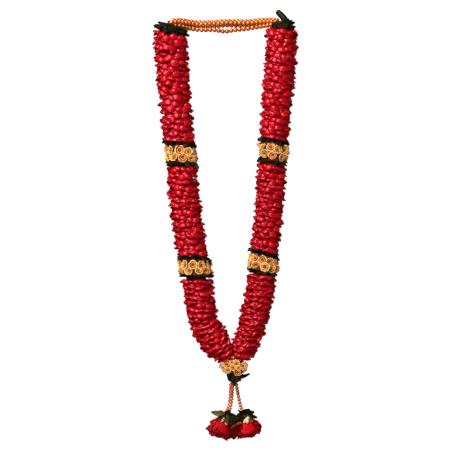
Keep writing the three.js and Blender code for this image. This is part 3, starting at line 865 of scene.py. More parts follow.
@dataclass
class Rope:
    """The axis of one rope and the leaning rings along it."""

    axis: Sequence[Span]  # seen from above, from the neck to the cluster
    reach: Span  # of the petals, at the neck and lower down
    lean: Span  # of the rings, in degrees, at the neck and at the vee

    def __post_init__(self) -> None:
        """Lays the axis at its height."""
        last = len(self.axis) - 1
        points = [(x, y, REST_SHARE * self._reach_at(i / last)) for i, (x, y) in enumerate(self.axis)]
        self.route = Route(points)
        self.length = self.route.length
        self.end = self.length - ROPE_END_MARGIN

    def _reach_at(self, share: Array | float) -> Array:
        """Reach of the petals at a share of the length."""
        settled = np.minimum(1, np.asarray(share, float) / REACH_SETTLES)
        return self.reach[0] + (self.reach[1] - self.reach[0]) * settled

    def tip_radius(self, s: Array | float) -> Array:
        """Reach of the petals, which narrows at the vee.

        Args:
            s: Distance along the rope.

        Returns:
            The reach there.
        """
        taper = smooth(s, self.length - END_TAPER, self.length)
        share = np.clip(np.asarray(s, float) / self.length, 0, 1)
        return self._reach_at(share) * (1 + (END_SHARE - 1) * taper)

    def rings(self, s: Array, turn: Array) -> tuple[Array, Array, Array, Array]:
        """The leaning rings at distances along the rope.

        Args:
            s: The distances.
            turn: Shares of a turn round the rings.

        Returns:
            Centres of the rings, and the ways along the rope, out at those turns, and on round the ring.
        """
        run = self.route.run(s)
        turned = smooth(np.asarray(s) / self.length, *LEAN_TURNS)
        lean = np.radians(self.lean[0] + (self.lean[1] - self.lean[0]) * turned)
        angle = np.arctan2(run[..., 1], run[..., 0]) - lean
        along = np.stack([np.cos(angle), np.sin(angle), np.zeros_like(angle)], axis=-1)
        across = np.stack([-along[..., 1], along[..., 0], along[..., 2]], axis=-1)
        cosine, sine = np.cos(TURN * turn)[..., None], np.sin(TURN * turn)[..., None]
        return self.route.at(s), along, across * cosine + UP * sine, UP * cosine - across * sine

    def place(self, s: Array, turn: Array, out: Array, along: Array, aside: Array) -> Array:
        """Points given from a ring of the rope.

        Args:
            s: Distance of the ring.
            turn: Share of a turn round it.
            out: Distance from the axis.
            along: Distance along the rope from the ring.
            aside: Distance round the ring from that turn.

        Returns:
            The points.
        """
        centre, run, radial, tangent = self.rings(s, turn)
        return centre + radial * out[..., None] + run * along[..., None] + tangent * aside[..., None]

    def core(self, reach: Span, counts: tuple[int, int], share: float, lumps: float, rng: Random) -> Array:
        """A lumpy tube round the axis, which petals, leaves or roses stand out of.

        Args:
            reach: Where it starts and ends.
            counts: Of its rows and columns.
            share: Its radius, as a share of the petals' reach.
            lumps: How far it is uneven, as a share of its radius.
            rng: Where the lumps come from.

        Returns:
            Its points, by row and column.
        """
        s = np.linspace(*reach, counts[0])[:, None]
        turn = np.linspace(0, 1, counts[1], endpoint=False)[None, :] + 0 * s
        radius = share * self.tip_radius(s) * (1 + lumps * rng.uniform(-1, 1, counts))
        zero = np.zeros_like(radius)
        return self.place(s + zero, turn, radius, zero, zero)


@dataclass(frozen=True)
class PetalShape:
    """A cupped petal that rises from the string, arches over and hangs, with its back to the neck."""

    width: Span = (24.0, 3.5)  # mean and spread, as every pair here
    lean: Span = (-10.0, 8.0)
    bend: Span = (100.0, 15.0)
    droop: float = 52.0  # how much less a petal bends beside the rope than on top of it or under it
    arch: Span = (0.30, 0.80)  # shares of the length between which it does most of its bending
    late: float = 0.24  # share of the bend that is spread over its hanging half
    late_arch: Span = (0.5, 1.1)
    cup: Span = (10.5, 2.6)  # radius that it is rolled to across
    curl: Span = (0.02, 0.06)
    wave: float = 0.04
    ripples: float = 4.2  # radians of the wave from its middle to an edge
    tip: float = 0.09  # how far the tip is rounded off
    foot: float = 0.36  # width at the base, as a share of the full width
    widest: float = 0.55  # share of the length from which it is widest
    narrowed: float = 0.08  # share of the width that it loses again towards the tip
    rows: int = 9
    columns: int = 7
    fine: int = 41  # samples of the arch

    def shares(self) -> Array:
        """Shares of the length at which the rows lie, closer together towards the tip."""
        return np.linspace(0, 1, self.rows) ** 0.7

    def _arches(self, lean: Array, bend: Array) -> tuple[Array, Array]:
        """Middle lines of petals of length 1.

        Args:
            lean: Angle at which each petal starts.
            bend: Angle through which it bends.

        Returns:
            Angles of the lines, by petal and sample, and their places out and along.
        """
        t = np.linspace(0, 1, self.fine)
        turned = (1 - self.late) * smooth(t, *self.arch) + self.late * smooth(t, *self.late_arch)
        angle = lean + bend * turned
        steps = np.stack([np.cos(angle), np.sin(angle)], axis=1) / (self.fine - 1)
        path = np.cumsum((steps[..., 1:] + steps[..., :-1]) / 2, axis=-1)
        return angle, np.concatenate([np.zeros_like(path[..., :1]), path], axis=-1)

    def grid(self, rng: Random, reach: Array, turn: Array) -> tuple[Array, Array, Array]:
        """Middle surfaces of a batch of petals, from where they are threaded.

        Args:
            rng: Where the differences between petals come from.
            reach: How far out each petal's arch is.
            turn: The turn at which each petal stands.

        Returns:
            Distances out, along and aside, by petal, row and column.
        """
        pairs = (self.lean, self.bend, self.width, self.cup, self.curl, (0.0, math.pi))
        lean, bend, full, cup, curl, phase = (spread(rng, p, len(reach))[:, None, None] for p in pairs)
        up = np.abs(np.sin(TURN * turn))[:, None, None]
        lean, bend, half = np.radians(lean), np.radians(bend + self.droop * (up - 1)), full / 2
        angle, path = self._arches(lean[:, 0], bend[:, 0])
        length = reach[:, None, None] / path[:, 0].max(axis=-1)[:, None, None]
        u = self.shares()[None, :, None]
        v = np.linspace(-1, 1, self.columns)[None, None, :]
        share = np.broadcast_to(u - self.tip * v**4 * u**3, (len(reach), self.rows, self.columns))
        at = share.reshape(len(reach), -1) * (self.fine - 1)
        lines = (path[:, 0], path[:, 1], angle)
        out, along, bent = (sampled(line, at).reshape(share.shape) for line in lines)
        out, along = length * out, length * along
        opened = np.sin(np.pi / 2 * np.minimum(u / self.widest, 1))
        width = half * (self.foot + (1 - self.foot) * opened - self.narrowed * smooth(u, 0.8, 1.0))
        roll = width * v / cup
        ripple = self.wave * half * u**2 * np.sin(v * self.ripples + phase)
        lift = curl * half * (np.abs(v) ** 3 + u**6) * u + ripple - cup * (1 - np.cos(roll))
        aside = cup * np.sin(roll) + 0 * out
        return out + np.sin(bent) * lift, along - np.cos(bent) * lift, aside


@dataclass(frozen=True)
class Stringing:
    """How the petals of a stretch are strung."""

    loose: float = 1.0  # how unevenly the rings are threaded
    petals: int = 14  # of a ring
    overhang: float = 1.0  # how far the last petals reach past the end
    shape: PetalShape = PetalShape()


@dataclass
class PetalStretch(Piece):
    """One stretch of threaded petals."""

    finish: ClassVar[Finish] = Finish.ROPE_PETALS
    rope: Rope
    start: float
    end: float
    seed: int
    stringing: Stringing
    seam_side: float = 0.0  # 1 or -1 where the ropes meet
    pitch: float = 11.2  # of the rings
    hub: float = 0.42  # radius of the petals' feet, as a share of the rope's
    twist: float = 15.0  # how far a petal is turned on its foot, in degrees
    give: float = 5.0  # how far from the end petals begin to give way
    ring_at: float = 0.30  # share of the pitch at which a ring starts
    reach: Span = (0.98, 0.095)  # of its petals, as a share of the rope's
    tilt: float = 3.0  # most that a ring is pushed along at one side
    stray: float = 1.3  # how far a single petal is pushed along
    filler: PetalShape = PetalShape(width=(19.0, 3.0), bend=(92.0, 18.0), cup=(8.5, 1.5), rows=7, columns=5)
    fewer: int = 4  # petals that a ring of fillers has less
    filler_at: float = 0.8
    filler_reach: Span = (0.91, 0.05)
    filler_stray: float = 2.0
    core_step: float = 5.0
    core_columns: int = 26
    core_share: float = CORE_SHARE + 0.03
    core_lumps: float = 0.07

    def _thread(
        self, heap: Heap, shape: PetalShape, s: Array, turn: Array, share: Array, rng: Random
    ) -> None:
        """Adds a batch of petals.

        Args:
            heap: What they are added to.
            shape: Of the petals.
            s: Where each petal is threaded.
            turn: Share of a turn at which it stands.
            share: Of the rope's reach that it has.
            rng: Where the differences between petals come from.
        """
        hub = self.hub * self.rope.tip_radius(s)
        out, along, aside = shape.grid(rng, share * self.rope.tip_radius(s) - hub, turn)
        roll = np.radians(rng.normal(0, self.twist, len(s)))[:, None, None]
        turned = along * np.cos(roll) - aside * np.sin(roll)
        aside = along * np.sin(roll) + aside * np.cos(roll)
        room = (self.end + self.stringing.overhang - s)[:, None, None]
        turned = room - pressed(room - turned, self.give)
        place = (s[:, None, None], turn[:, None, None])
        grid = self.rope.place(*place, hub[:, None, None] + out, turned, aside)
        columns = np.linspace(-1, 1, shape.columns)
        marks = marks_of(shape.shares(), columns, rng.uniform(0, 1, len(s)), 0.0)
        heap.blades(self._settled(grid), marks, PETAL_WALL)

    def _settled(self, grid: Array) -> Array:
        """Points pressed against what the rope rests on and meets.

        Args:
            grid: The points.

        Returns:
            The moved points.
        """
        if self.seam_side:
            grid = clear_of_cluster(clear_of_seam(grid, self.seam_side))
        return on_floor(grid)

    def fill(self, heap: Heap, rng: Random) -> None:
        """Adds its rings of petals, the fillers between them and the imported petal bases.

        Args:
            heap: What they are added to.
            rng: Where its small differences come from.
        """
        loose, petals = self.stringing.loose, self.stringing.petals
        rings = round((self.end - self.start) / self.pitch)
        pitch = (self.end - self.start) / rings
        k = np.repeat(np.arange(rings), petals)
        j = np.tile(np.arange(petals), rings)
        most = loose * rng.uniform(-self.tilt, self.tilt, rings)[k]
        tilt = most * np.sin(TURN * (j / petals + rng.uniform(0, 1, rings)[k]))
        s = self.start + (k + self.ring_at) * pitch + tilt + loose * rng.normal(0, self.stray, len(k))
        turn = (j + 0.5 * k + rng.uniform(-0.2, 0.2, len(k))) / petals
        self._thread(heap, self.stringing.shape, s, turn, spread(rng, self.reach, len(k)), rng)
        few = petals - self.fewer
        k = np.repeat(np.arange(rings), few)
        stray = loose * rng.uniform(-self.filler_stray, self.filler_stray, len(k))
        s = self.start + (k + self.filler_at) * pitch + stray
        turn = (np.tile(np.arange(few), rings) + rng.uniform(0, 1, len(k))) / few
        self._thread(heap, self.filler, s, turn, spread(rng, self.filler_reach, len(k)), rng)
        counts = (max(6, int((self.end - self.start) / self.core_step)), self.core_columns)
        core = self.rope.core((self.start, self.end), counts, self.core_share, self.core_lumps, rng)
        heap.tube(self._settled(core), PETAL_CORE_MARKS)


# ---------------------------------------------------------------- leaves


@dataclass(frozen=True)
class LeafShape:
    """A rose leaf along +X with its face to +Z: toothed, folded at its rib, with a drooping tip."""

    fold: Span = (30.0, 14.0)  # mean and spread, in degrees
    droop: Span = (0.12, 0.1)  # of the tip, as a share of the length
    wave: float = 0.06  # of the edges, as a share of the width
    teeth: float = 0.07
    rows: int = 15
    columns: int = 7
    blunt: float = 0.0  # 1 for round ends
    least_half: float = 0.25  # half the width that its ends keep

    def grid(self, rng: Random, length: Array, width: Array) -> Array:
        """Middle surfaces of a batch of leaves.

        Args:
            rng: Where the differences between leaves come from.
            length: Of each leaf.
            width: Of each leaf.

        Returns:
            Points in the leaf's own axes, by leaf, row and column.
        """
        u = np.linspace(0, 1, self.rows)[None, :, None]
        v = np.linspace(-1, 1, self.columns)[None, None, :]
        pairs = (self.fold, self.droop, (0.0, math.pi))
        fold, droop, phase = (spread(rng, pair, len(length))[:, None, None] for pair in pairs)
        fold = np.radians(fold)
        outline = np.sin(np.pi * (0.03 + 0.93 * u**0.85)) ** (0.85 - 0.4 * self.blunt)
        saw = np.where(np.arange(self.rows) % 2, 1.0, -1.0)[None, :, None]
        half = width[:, None, None] / 2 * outline * (1 + self.teeth * saw * np.abs(v) ** 4) + self.least_half
        ripple = self.wave * width[:, None, None] * np.sin(u * 9 + phase) * v**2
        rise = half * np.sin(fold) * (np.sqrt(v**2 + 0.01) - 0.1) + ripple
        x = length[:, None, None] * (u + 0 * v)
        z = rise - droop * length[:, None, None] * u**2
        return np.stack([x + 0 * z, half * v * np.cos(fold), z], axis=-1)


def set_leaves(
    heap: Heap,
    rng: Random,
    shape: LeafShape,
    origin: Array,
    way: Array,
    face: Array,
    sizes: Array,
    olive: Array,
    run: Span = (0.0, 1.0),
) -> None:
    """Places a batch of leaves.

    Args:
        heap: What they are added to.
        rng: Where the differences between leaves come from.
        shape: Of the leaves.
        origin: Where each leaf starts.
        way: The way that each leaf runs.
        face: The way that each leaf faces.
        sizes: Length and width of each leaf.
        olive: How brown each leaf is; on loose red petals it sets how far painted shade darkens them.
        run: Which part of their finish, from base to tip, they show.
    """
    local = shape.grid(rng, sizes[:, 0], sizes[:, 1])
    x = unit(way)
    y = unit(np.cross(face, x))
    z = np.cross(x, y)
    axes = np.stack([x, y, z], axis=1)
    grid = on_floor(np.einsum("nuvk,nkj->nuvj", local, axes) + origin[:, None, None, :], BLADE_SOFTNESS)
    rows, columns = np.linspace(*run, shape.rows), np.linspace(-1, 1, shape.columns)
    heap.blades(grid, marks_of(rows, columns, rng.uniform(0, 1, len(sizes)), olive), LEAF_WALL)


@dataclass(frozen=True)
class Leaf:
    """A single leaf, placed by its root and its tip."""

    root: Point
    tip: Point
    width: float
    # olive: on a loose red petal this is how far painted shade darkens it
    olive: float = 0.0  # how brown it is
    fold: float = 30.0  # in degrees
    face: Point = (0.0, 0.0, 1.0)
    droop: float = 0.0
    run: Span = (0.0, 1.0)  # which part of its finish, from base to tip, it shows


def set_single_leaves(heap: Heap, rng: Random, leaves: Sequence[Leaf], rows: int = 17) -> None:
    """Places single leaves.

    Args:
        heap: What they are added to.
        rng: Where the differences between leaves come from.
        leaves: The leaves.
        rows: Of each leaf's grid.
    """
    for leaf in leaves:
        root, tip = np.array([leaf.root], float), np.array([leaf.tip], float)
        sizes = np.array([[np.linalg.norm(tip - root), leaf.width]])
        shape = LeafShape((leaf.fold, 4.0), (leaf.droop, 0.02), rows=rows, columns=9, blunt=0.5)
        face = np.array([leaf.face], float)
        set_leaves(heap, rng, shape, root, tip - root, face, sizes, np.array([leaf.olive]), leaf.run)


@dataclass(frozen=True)
class RolledLeaf:
    """A leaf rolled up into a tube."""

    root: Point
    tip: Point
    radius: float = 6.0
    turns: float = 1.6
    run: Span = (0.1, 0.9)  # which part of its finish, from base to tip, it shows
    slant: float = 2.5  # how far the tip's one side reaches past the other
    bow: float = 1.8  # how far it bends aside
    rows: int = 14
    columns: int = 30

    def add(self, heap: Heap) -> None:
        """Adds it to a heap.

        Args:
            heap: The heap.
        """
        u = np.linspace(0, 1, self.rows)[:, None]
        w = np.linspace(0, 1, self.columns)[None, :]
        root, tip = np.array(self.root), np.array(self.tip)
        run = unit(tip - root)
        side = unit(np.cross(run, UP))
        up = np.cross(side, run)
        angle = TURN * self.turns * w + 0.5 * u
        radius = self.radius * (0.5 + 0.5 * w) * (0.72 + 0.28 * np.sin(np.pi * (0.15 + 0.7 * u)))
        slant = self.slant * np.sin(angle) * u**3
        bow = self.bow * np.sin(np.pi * u)
        length = np.linalg.norm(tip - root)
        grid = (
            root
            + run * (u * length + slant)[..., None]
            + side * (np.cos(angle) * radius + bow)[..., None]
            + up * (np.sin(angle) * radius)[..., None]
        )
        rows, columns = np.linspace(*self.run, self.rows), np.linspace(0.3, 0.9, self.columns)
        heap.blades(grid[None], marks_of(rows, columns, np.array([0.1]), 0.0), LEAF_WALL)


@dataclass
class LeafRuff(Piece):
    """A ring of folded leaves on a rope."""

    finish: ClassVar[Finish] = Finish.DARK_LEAVES
    rope: Rope
    start: float
    end: float
    seed: int
    leaves: int = 26
    reach: float = 1.0  # of the leaves, as a share of the rope's
    rise: float = 0.0  # how far tips rise towards the neck, in degrees
    uneven_rise: float = 9.0
    outer_turn: float = 0.0  # the turn at which they rise most
    spin: float = 48.0  # how far a leaf is turned on its rib, in degrees
    width: Span = (14.0, 21.0)  # least and most
    foot: float = 0.3  # where the leaves start, as a share of their reach
    margin: float = 1.2  # kept free of leaves' feet at both sides
    step: float = 0.382  # of a turn from each leaf to the next
    brown: float = 0.22  # of the brownest leaf
    shape: LeafShape = LeafShape(fold=(46.0, 20.0), blunt=0.7)
    single: Sequence[Leaf] = ()
    rolled: Sequence[RolledLeaf] = ()

    def fill(self, heap: Heap, rng: Random) -> None:
        """Adds its leaves and their packed stalks.

        Args:
            heap: What they are added to.
            rng: Where its small differences come from.
        """
        n = self.leaves
        middle = (self.start + self.end) / 2
        slack = (self.end - self.start) / 2 - self.margin
        s = spread(rng, (middle, slack), n)
        turn = (np.arange(n) * self.step + rng.uniform(-0.02, 0.02, n)) % 1.0
        outwards = 0.5 + 0.5 * np.cos(TURN * (turn - self.outer_turn))
        uneven = rng.uniform(-self.uneven_rise, self.uneven_rise, n)
        rise = np.radians(self.rise * np.maximum(0.1, outwards) + uneven)[:, None]
        centre, run, radial, _ = self.rope.rings(s, turn)
        way = radial * np.cos(rise) - run * np.sin(rise)
        spin = np.radians(rng.uniform(-self.spin, self.spin, n))[:, None]
        back = -run * np.cos(rise) - radial * np.sin(rise)
        face = back * np.cos(spin) + np.cross(way, back) * np.sin(spin)
        reach = self.rope.tip_radius(middle) * self.reach
        root = self.foot * reach
        length = reach * spread(rng, (1.0, 0.08), n) - root
        sizes = np.stack([length, rng.uniform(*self.width, n)], axis=-1)
        olive = self.brown * rng.uniform(0, 1, n) ** 3
        set_leaves(heap, rng, self.shape, centre + radial * root, way, face, sizes, olive)
        set_single_leaves(heap, rng, self.single)
        for rolled in self.rolled:
            rolled.add(heap)
        core = self.rope.core((self.start, self.end), (4, 22), CORE_SHARE, 0.06, rng)
        heap.tube(on_floor(core), LEAF_CORE_MARKS)


# ---------------------------------------------------------------- roses


@dataclass(frozen=True)
class Whorl:
    """One ring of a rose's petals, as shares of the rose's radius."""

    petals: int
    overlap: float  # how much wider a petal is than its share of the ring
    profile: Sequence[Span]  # (radius, height) from the base to the rim
    layer: float = 0.0  # 1 for the outer petals of a cream rose
    phase: float = 0.0
    curl: float = 0.12  # how far the sides of the rim roll back
    drop: float = 0.16  # how much lower the sides of the rim are
    point: float = 0.0  # how much less the sides of the rim reach out


@dataclass(frozen=True)
class Bloom:
    """A rose with its base at 0, open towards +Z."""

    whorls: Sequence[Whorl]
    heart: Sequence[Span]  # (radius, height) of the rolled heart from its base to its rim
    heart_turns: float = 2.0
    rows: int = 6
    columns: int = 6
    heart_columns: int = 22
    uneven: float = 0.07
    ragged: float = 0.0  # how torn the rims are
    spiral: float = 0.045  # how far a petal's one side stands outside the other
    waves: float = 5.0  # radians of the rim's wave from its middle to a side
    tears: float = 17.0

    def _ring(self, whorl: Whorl, tint: float, rng: Random) -> tuple[Array, Array]:
        """One whorl's petals.

        Args:
            whorl: The whorl.
            tint: Of the rose.
            rng: Where the differences between petals come from.

        Returns:
            Their grids and marks.
        """
        n = whorl.petals
        u, v = np.linspace(0, 1, self.rows), np.linspace(-1, 1, self.columns)
        profile = Route([(r, h) for r, h in whorl.profile])
        radius, height = profile.at(u * profile.length).T[:, None, :, None]
        odd = self.uneven * rng.uniform(-1, 1, (4, n))[:, :, None, None]
        half = math.pi / n * whorl.overlap
        turn = whorl.phase + TURN * (np.arange(n)[:, None, None] + odd[0]) / n
        rows, columns = u[None, :, None], v[None, None, :]
        side = np.abs(columns)
        curl = whorl.curl * (1 + 4 * odd[1]) * rows**3 * side**2.2
        angle = turn + half * columns * (0.75 + 0.25 * rows)
        r = radius * (1 + odd[2] * rows) + self.spiral * columns * rows + curl
        r = r - whorl.point * rows**2 * side**2
        wave = self.uneven * rows**3 * np.sin(columns * self.waves + 40 * odd[3])
        wave = wave + self.ragged * rows**6 * np.sin(columns * self.tears + 90 * odd[1])
        z = height * (1 + odd[3]) - whorl.drop * rows**2 * side**3 - 0.8 * curl + 0.6 * wave
        r = r + 0.5 * wave
        grid = np.stack([r * np.cos(angle), r * np.sin(angle), z + 0 * angle], axis=-1)
        shades = np.clip(tint + rng.uniform(-0.2, 0.2, n), 0, 1)
        return grid, marks_of(u, v, shades, whorl.layer)

    def _rolled_heart(self, tint: float, rng: Random) -> tuple[Array, Array]:
        """The heart's rolled petal.

        Args:
            tint: Of the rose.
            rng: Which says where it starts.

        Returns:
            Its grid and marks.
        """
        u, w = np.linspace(0, 1, self.rows), np.linspace(0, 1, self.heart_columns)
        profile = Route([(r, h) for r, h in self.heart])
        radius, height = profile.at(u * profile.length).T[:, :, None]
        angle = rng.uniform(0, TURN) + TURN * self.heart_turns * w
        r = radius * (0.16 + 0.84 * w) * (1 + 0.05 * np.sin(angle * 1.5))
        z = height * (1 - 0.12 * w) + 0 * angle
        grid = np.stack([r * np.cos(angle), r * np.sin(angle), z], axis=-1)[None]
        return grid, marks_of(u, np.linspace(-1, 1, self.heart_columns), np.array([tint]), 0.0)

    def sheets(self, rng: Random) -> list[tuple[Array, Array]]:
        """Middle surfaces of one rose's petals.

        Args:
            rng: Where the differences between roses come from.

        Returns:
            Grids and marks, one pair for each whorl and one for the heart.
        """
        tint = rng.uniform()
        return [*(self._ring(whorl, tint, rng) for whorl in self.whorls), self._rolled_heart(tint, rng)]


CREAM_BLOOM = Bloom(
    whorls=(
        Whorl(
            5, 1.3, ((0.20, -0.80), (0.60, -0.45), (0.84, 0.12), (1.06, 0.15)),
            layer=1.0, phase=0.3, curl=0.04, drop=0.26, point=0.18,
        ),
        Whorl(
            3, 1.35, ((0.16, -0.75), (0.34, -0.35), (0.46, 0.14), (0.60, 0.22)),
            layer=0.3, phase=0.9, curl=0.03, drop=0.12, point=0.12,
        ),
    ),
    heart=((0.05, -0.5), (0.10, -0.10), (0.14, 0.10), (0.24, 0.16)),
    heart_turns=1.5,
    columns=7,
)


def set_bloom(
    heap: Heap,
    bloom: Bloom,
    rng: Random,
    origin: Array,
    axis: Array,
    size: float,
    wall: float,
    spin: float | None = None,
) -> None:
    """Places one rose.

    Args:
        heap: What it is added to.
        bloom: The rose.
        rng: Where its differences come from.
        origin: Where its base is.
        axis: The way that it faces.
        size: Its radius.
        wall: Thickness of its petals.
        spin: How far it is turned on its axis, at random if not given.
    """
    z = unit(axis)
    x = unit(np.cross(z, UP) if abs(z[2]) < 0.9 else np.cross(z, np.array([0.0, 1.0, 0.0])))
    spin = rng.uniform(0, TURN) if spin is None else spin
    x = x * math.cos(spin) + np.cross(z, x) * math.sin(spin)
    axes = np.stack([x, np.cross(z, x), z])
    for grid, marks in bloom.sheets(rng):
        heap.blades(on_floor(grid * size @ axes + origin, BLADE_SOFTNESS), marks, wall, ROSE_RIM)


@dataclass
class RoseBand(Piece):
    """Two rows of cream roses round a rope."""

    finish: ClassVar[Finish] = Finish.CREAM_PETALS
    rope: Rope
    start: float
    end: float
    first_turns: Span
    seed: int
    roses: int = 10
    size: float = 8.4
    sizes: Span = (0.86, 1.12)  # least and most, as shares of that
    sunk: float = 0.45  # how far a base lies below the petals' reach, as a share of the rose's size
    rows_at: Span = (0.26, 0.74)  # shares of the width at which the rows stand
    lean: float = 0.32  # how far roses face anywhere but straight out
    part: float = 0.12  # how far the two rows face away from each other
    tuck: float = 3.0  # how far its core runs on under both ruffs
    core_share: float = 0.78

    def fill(self, heap: Heap, rng: Random) -> None:
        """Adds its roses and their packed bases.

        Args:
            heap: What they are added to.
            rng: Where its small differences come from.
        """
        width = self.end - self.start
        for row, first in enumerate(self.first_turns):
            s = self.start + width * self.rows_at[row] + rng.uniform(-1.2, 1.2, self.roses)
            turn = first + (np.arange(self.roses) + rng.uniform(-0.12, 0.12, self.roses)) / self.roses
            centre, run, radial, _ = self.rope.rings(s, turn)
            lean = rng.normal(0, self.lean, (self.roses, 3)) + run * (self.part if row else -self.part)
            for i in range(self.roses):
                size = self.size * rng.uniform(*self.sizes)
                depth = self.rope.tip_radius(s[i]) - self.sunk * size * rng.uniform(0.85, 1.2)
                origin = centre[i] + radial[i] * depth
                set_bloom(heap, CREAM_BLOOM, rng, origin, radial[i] + lean[i], size, CREAM_WALL)
        # Its packed bases are coloured with painted shade, to darken the gaps between the roses
        ends = (self.start - self.tuck, self.end + self.tuck)
        heap.tube(on_floor(self.rope.core(ends, (6, 24), self.core_share, 0.05, rng)), ROSE_CORE_MARKS)


@dataclass
class RoseCluster(Piece):
    """The dome of cream roses where both ropes meet."""

    finish: ClassVar[Finish] = Finish.CREAM_PETALS
    seed: int = 41
    # Roses on top, as places seen from above and sizes
    crown: Sequence[Point] = (
        (3.4, -263.6, 8.3), (13.0, -260.0, 5.4), (21.6, -260.8, 6.3), (34.2, -267.9, 7.0),
        (15.0, -270.0, 6.1), (4.6, -276.0, 6.1), (23.8, -280.0, 6.6), (26.0, -270.6, 5.2),
        (-4.0, -270.5, 5.2), (37.5, -273.5, 5.0),
    )
    upturn: float = 1.5  # how far the roses on top turn up
    lift: float = 6.0  # how much higher they stand
    skirt: int = 11  # roses round the side of the dome
    skirt_size: float = 7.8
    skirt_height: float = 10.0
    belt_height: float = 28.0  # of the row between the skirt and the crown, where the ropes leave room for it
    belt_pull: float = 0.84  # how far in it stands
    belt_edge: float = 0.45  # how far towards the ropes it reaches
    stray: float = 0.22  # how far roses face anywhere but straight out
    sunk: float = 0.3  # how far a base lies below the dome, as a share of the rose's size
    core_share: float = 0.8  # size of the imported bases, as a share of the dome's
    # They are longer along Y so that their painted shade fills the gap below the ropes' ends
    core_half: Point = (1.0, 1.2, 1.0)  # how much longer they are each way

    def _places(self, rng: Random, centre: Array, half: Array) -> list[Array]:
        """Where the roses stand, on a dome of radius 1: crown, skirt and belt.

        Args:
            rng: Where the differences between places come from.
            centre: Of the real dome.
            half: Half its size.

        Returns:
            The places.
        """

        def on_side(angle: float, level: float, pull: float = 1.0) -> Array:
            """A place at an angle and a level, which is pulled in."""
            ring = math.sqrt(1 - level**2) * pull
            return np.array([ring * math.cos(angle), ring * math.sin(angle), level])

        skirt, belt = ((height - centre[2]) / half[2] for height in (self.skirt_height, self.belt_height))
        places = []
        for x, y, _ in self.crown:
            flat = (np.array([x, y]) - centre[:2]) / half[:2]
            flat *= min(1.0, 0.9 / max(np.linalg.norm(flat), 1e-6))
            places.append(np.array([*flat, math.sqrt(max(0.0, 1 - flat @ flat))]))
        for i in range(self.skirt):
            angle = TURN * (i + rng.uniform(-0.1, 0.1)) / self.skirt
            places.append(on_side(angle, skirt + 0.1 * (i % 2)))
        for i in range(self.skirt):
            angle = TURN * (i + 0.5) / self.skirt
            if math.sin(angle) < self.belt_edge:
                places.append(on_side(angle, belt + 0.08 * (i % 3 - 1), self.belt_pull))
        return places

    def fill(self, heap: Heap, rng: Random) -> None:
        """Adds its roses and their packed bases.

        Args:
            heap: What they are added to.
            rng: Where its small differences come from.
        """
        centre, half = np.array(CLUSTER_CENTRE), np.array(CLUSTER_HALF)
        for i, place in enumerate(self._places(rng, centre, half)):
            on_top = i < len(self.crown)
            facing = unit(place / half) + rng.normal(0, self.stray, 3) + UP * (self.upturn if on_top else 0.0)
            size = self.crown[i][2] if on_top else self.skirt_size
            sunk = unit(facing) * self.sunk * size
            origin = centre + place * half - sunk + UP * (self.lift if on_top else 0.0)
            set_bloom(heap, CREAM_BLOOM, rng, origin, facing, size, CREAM_WALL)
        # The packed bases are coloured with painted shade, which darkens the gaps between the roses
        rows, columns = 12, 24
        rise = np.linspace(-1.5, 1.5, rows)[:, None]
        turn = full_turn(columns)[None, :]
        lumps = self.core_share * (1 + 0.04 * rng.uniform(-1, 1, (rows, columns)))
        flat = np.cos(rise) * lumps
        grid = np.stack([flat * np.cos(turn), flat * np.sin(turn), np.sin(rise) * lumps], axis=-1)
        heap.tube(on_floor(grid * half * self.core_half + centre), ROSE_CORE_MARKS)


# ---------------------------------------------------------------- beads and thread


@dataclass
class BeadStrand(Piece):
    """Beads on their thread."""

    finish: ClassVar[Finish] = Finish.GILT_BEADS
    route: Route
    diameter: float
    seed: int
    offset: float = 0.0  # share of a bead by which they all stand further along
    ruddy: float = 0.0  # how much redder than gilt they are
    swell: float = 1.12  # how much fuller a bead is than the room it has on the thread
    sides: int = 16
    steps: int = 9  # rows of a bead
    hole: float = 16.0  # angle from the thread at which a bead's surface starts, in degrees
    fullness: float = 0.75  # under 1 gives beads with fuller shoulders
    thread: float = 0.42  # radius where two beads meet, as a share of a bead's

    def fill(self, heap: Heap, rng: Random) -> None:
        """Adds its beads and the thread between them, as one surface.

        Args:
            heap: What they are added to.
            rng: Where its small differences come from.
        """
        count = int(self.route.length // self.diameter)
        pitch = self.route.length / count
        radius = min(pitch, self.diameter) / 2
        rise = np.radians(np.linspace(self.hole, 180 - self.hole, self.steps))
        thread = self.thread * radius
        s, r, tint, layer = [0.0], [thread], [0.0], [1.0]
        for i in range(count - (self.offset > 0)):
            middle = (i + 0.5 + self.offset) * pitch
            s.extend([middle - pitch / 2 + 0.01, *(middle - radius * np.cos(rise))])
            r.extend([thread, *(self.swell * radius * np.sin(rise) ** self.fullness)])
            tint.extend([0.0] + [rng.uniform()] * self.steps)
            # Rows near the holes lean towards the thread's colour: painted shade where two beads meet
            layer.extend([1.0, *(0.9 * np.abs(np.cos(rise)) ** 3)])
        for values, last in ((s, self.route.length), (r, thread), (tint, 0.0), (layer, 1.0)):
            values.append(last)
        s_array = np.array(s)
        centre, run = self.route.at(s_array), self.route.run(s_array)
        centre[:, 2] = np.maximum(centre[:, 2], self.diameter / 2)
        grid = centre[:, None] + ring_round(run, full_turn(self.sides)) * np.array(r)[:, None, None]
        share, ruddy = s_array / self.route.length, 0 * s_array + self.ruddy
        rows = np.stack([share, ruddy, np.array(tint), np.array(layer)], axis=-1)
        heap.tube(grid, np.repeat(rows[:, None], self.sides, axis=1))


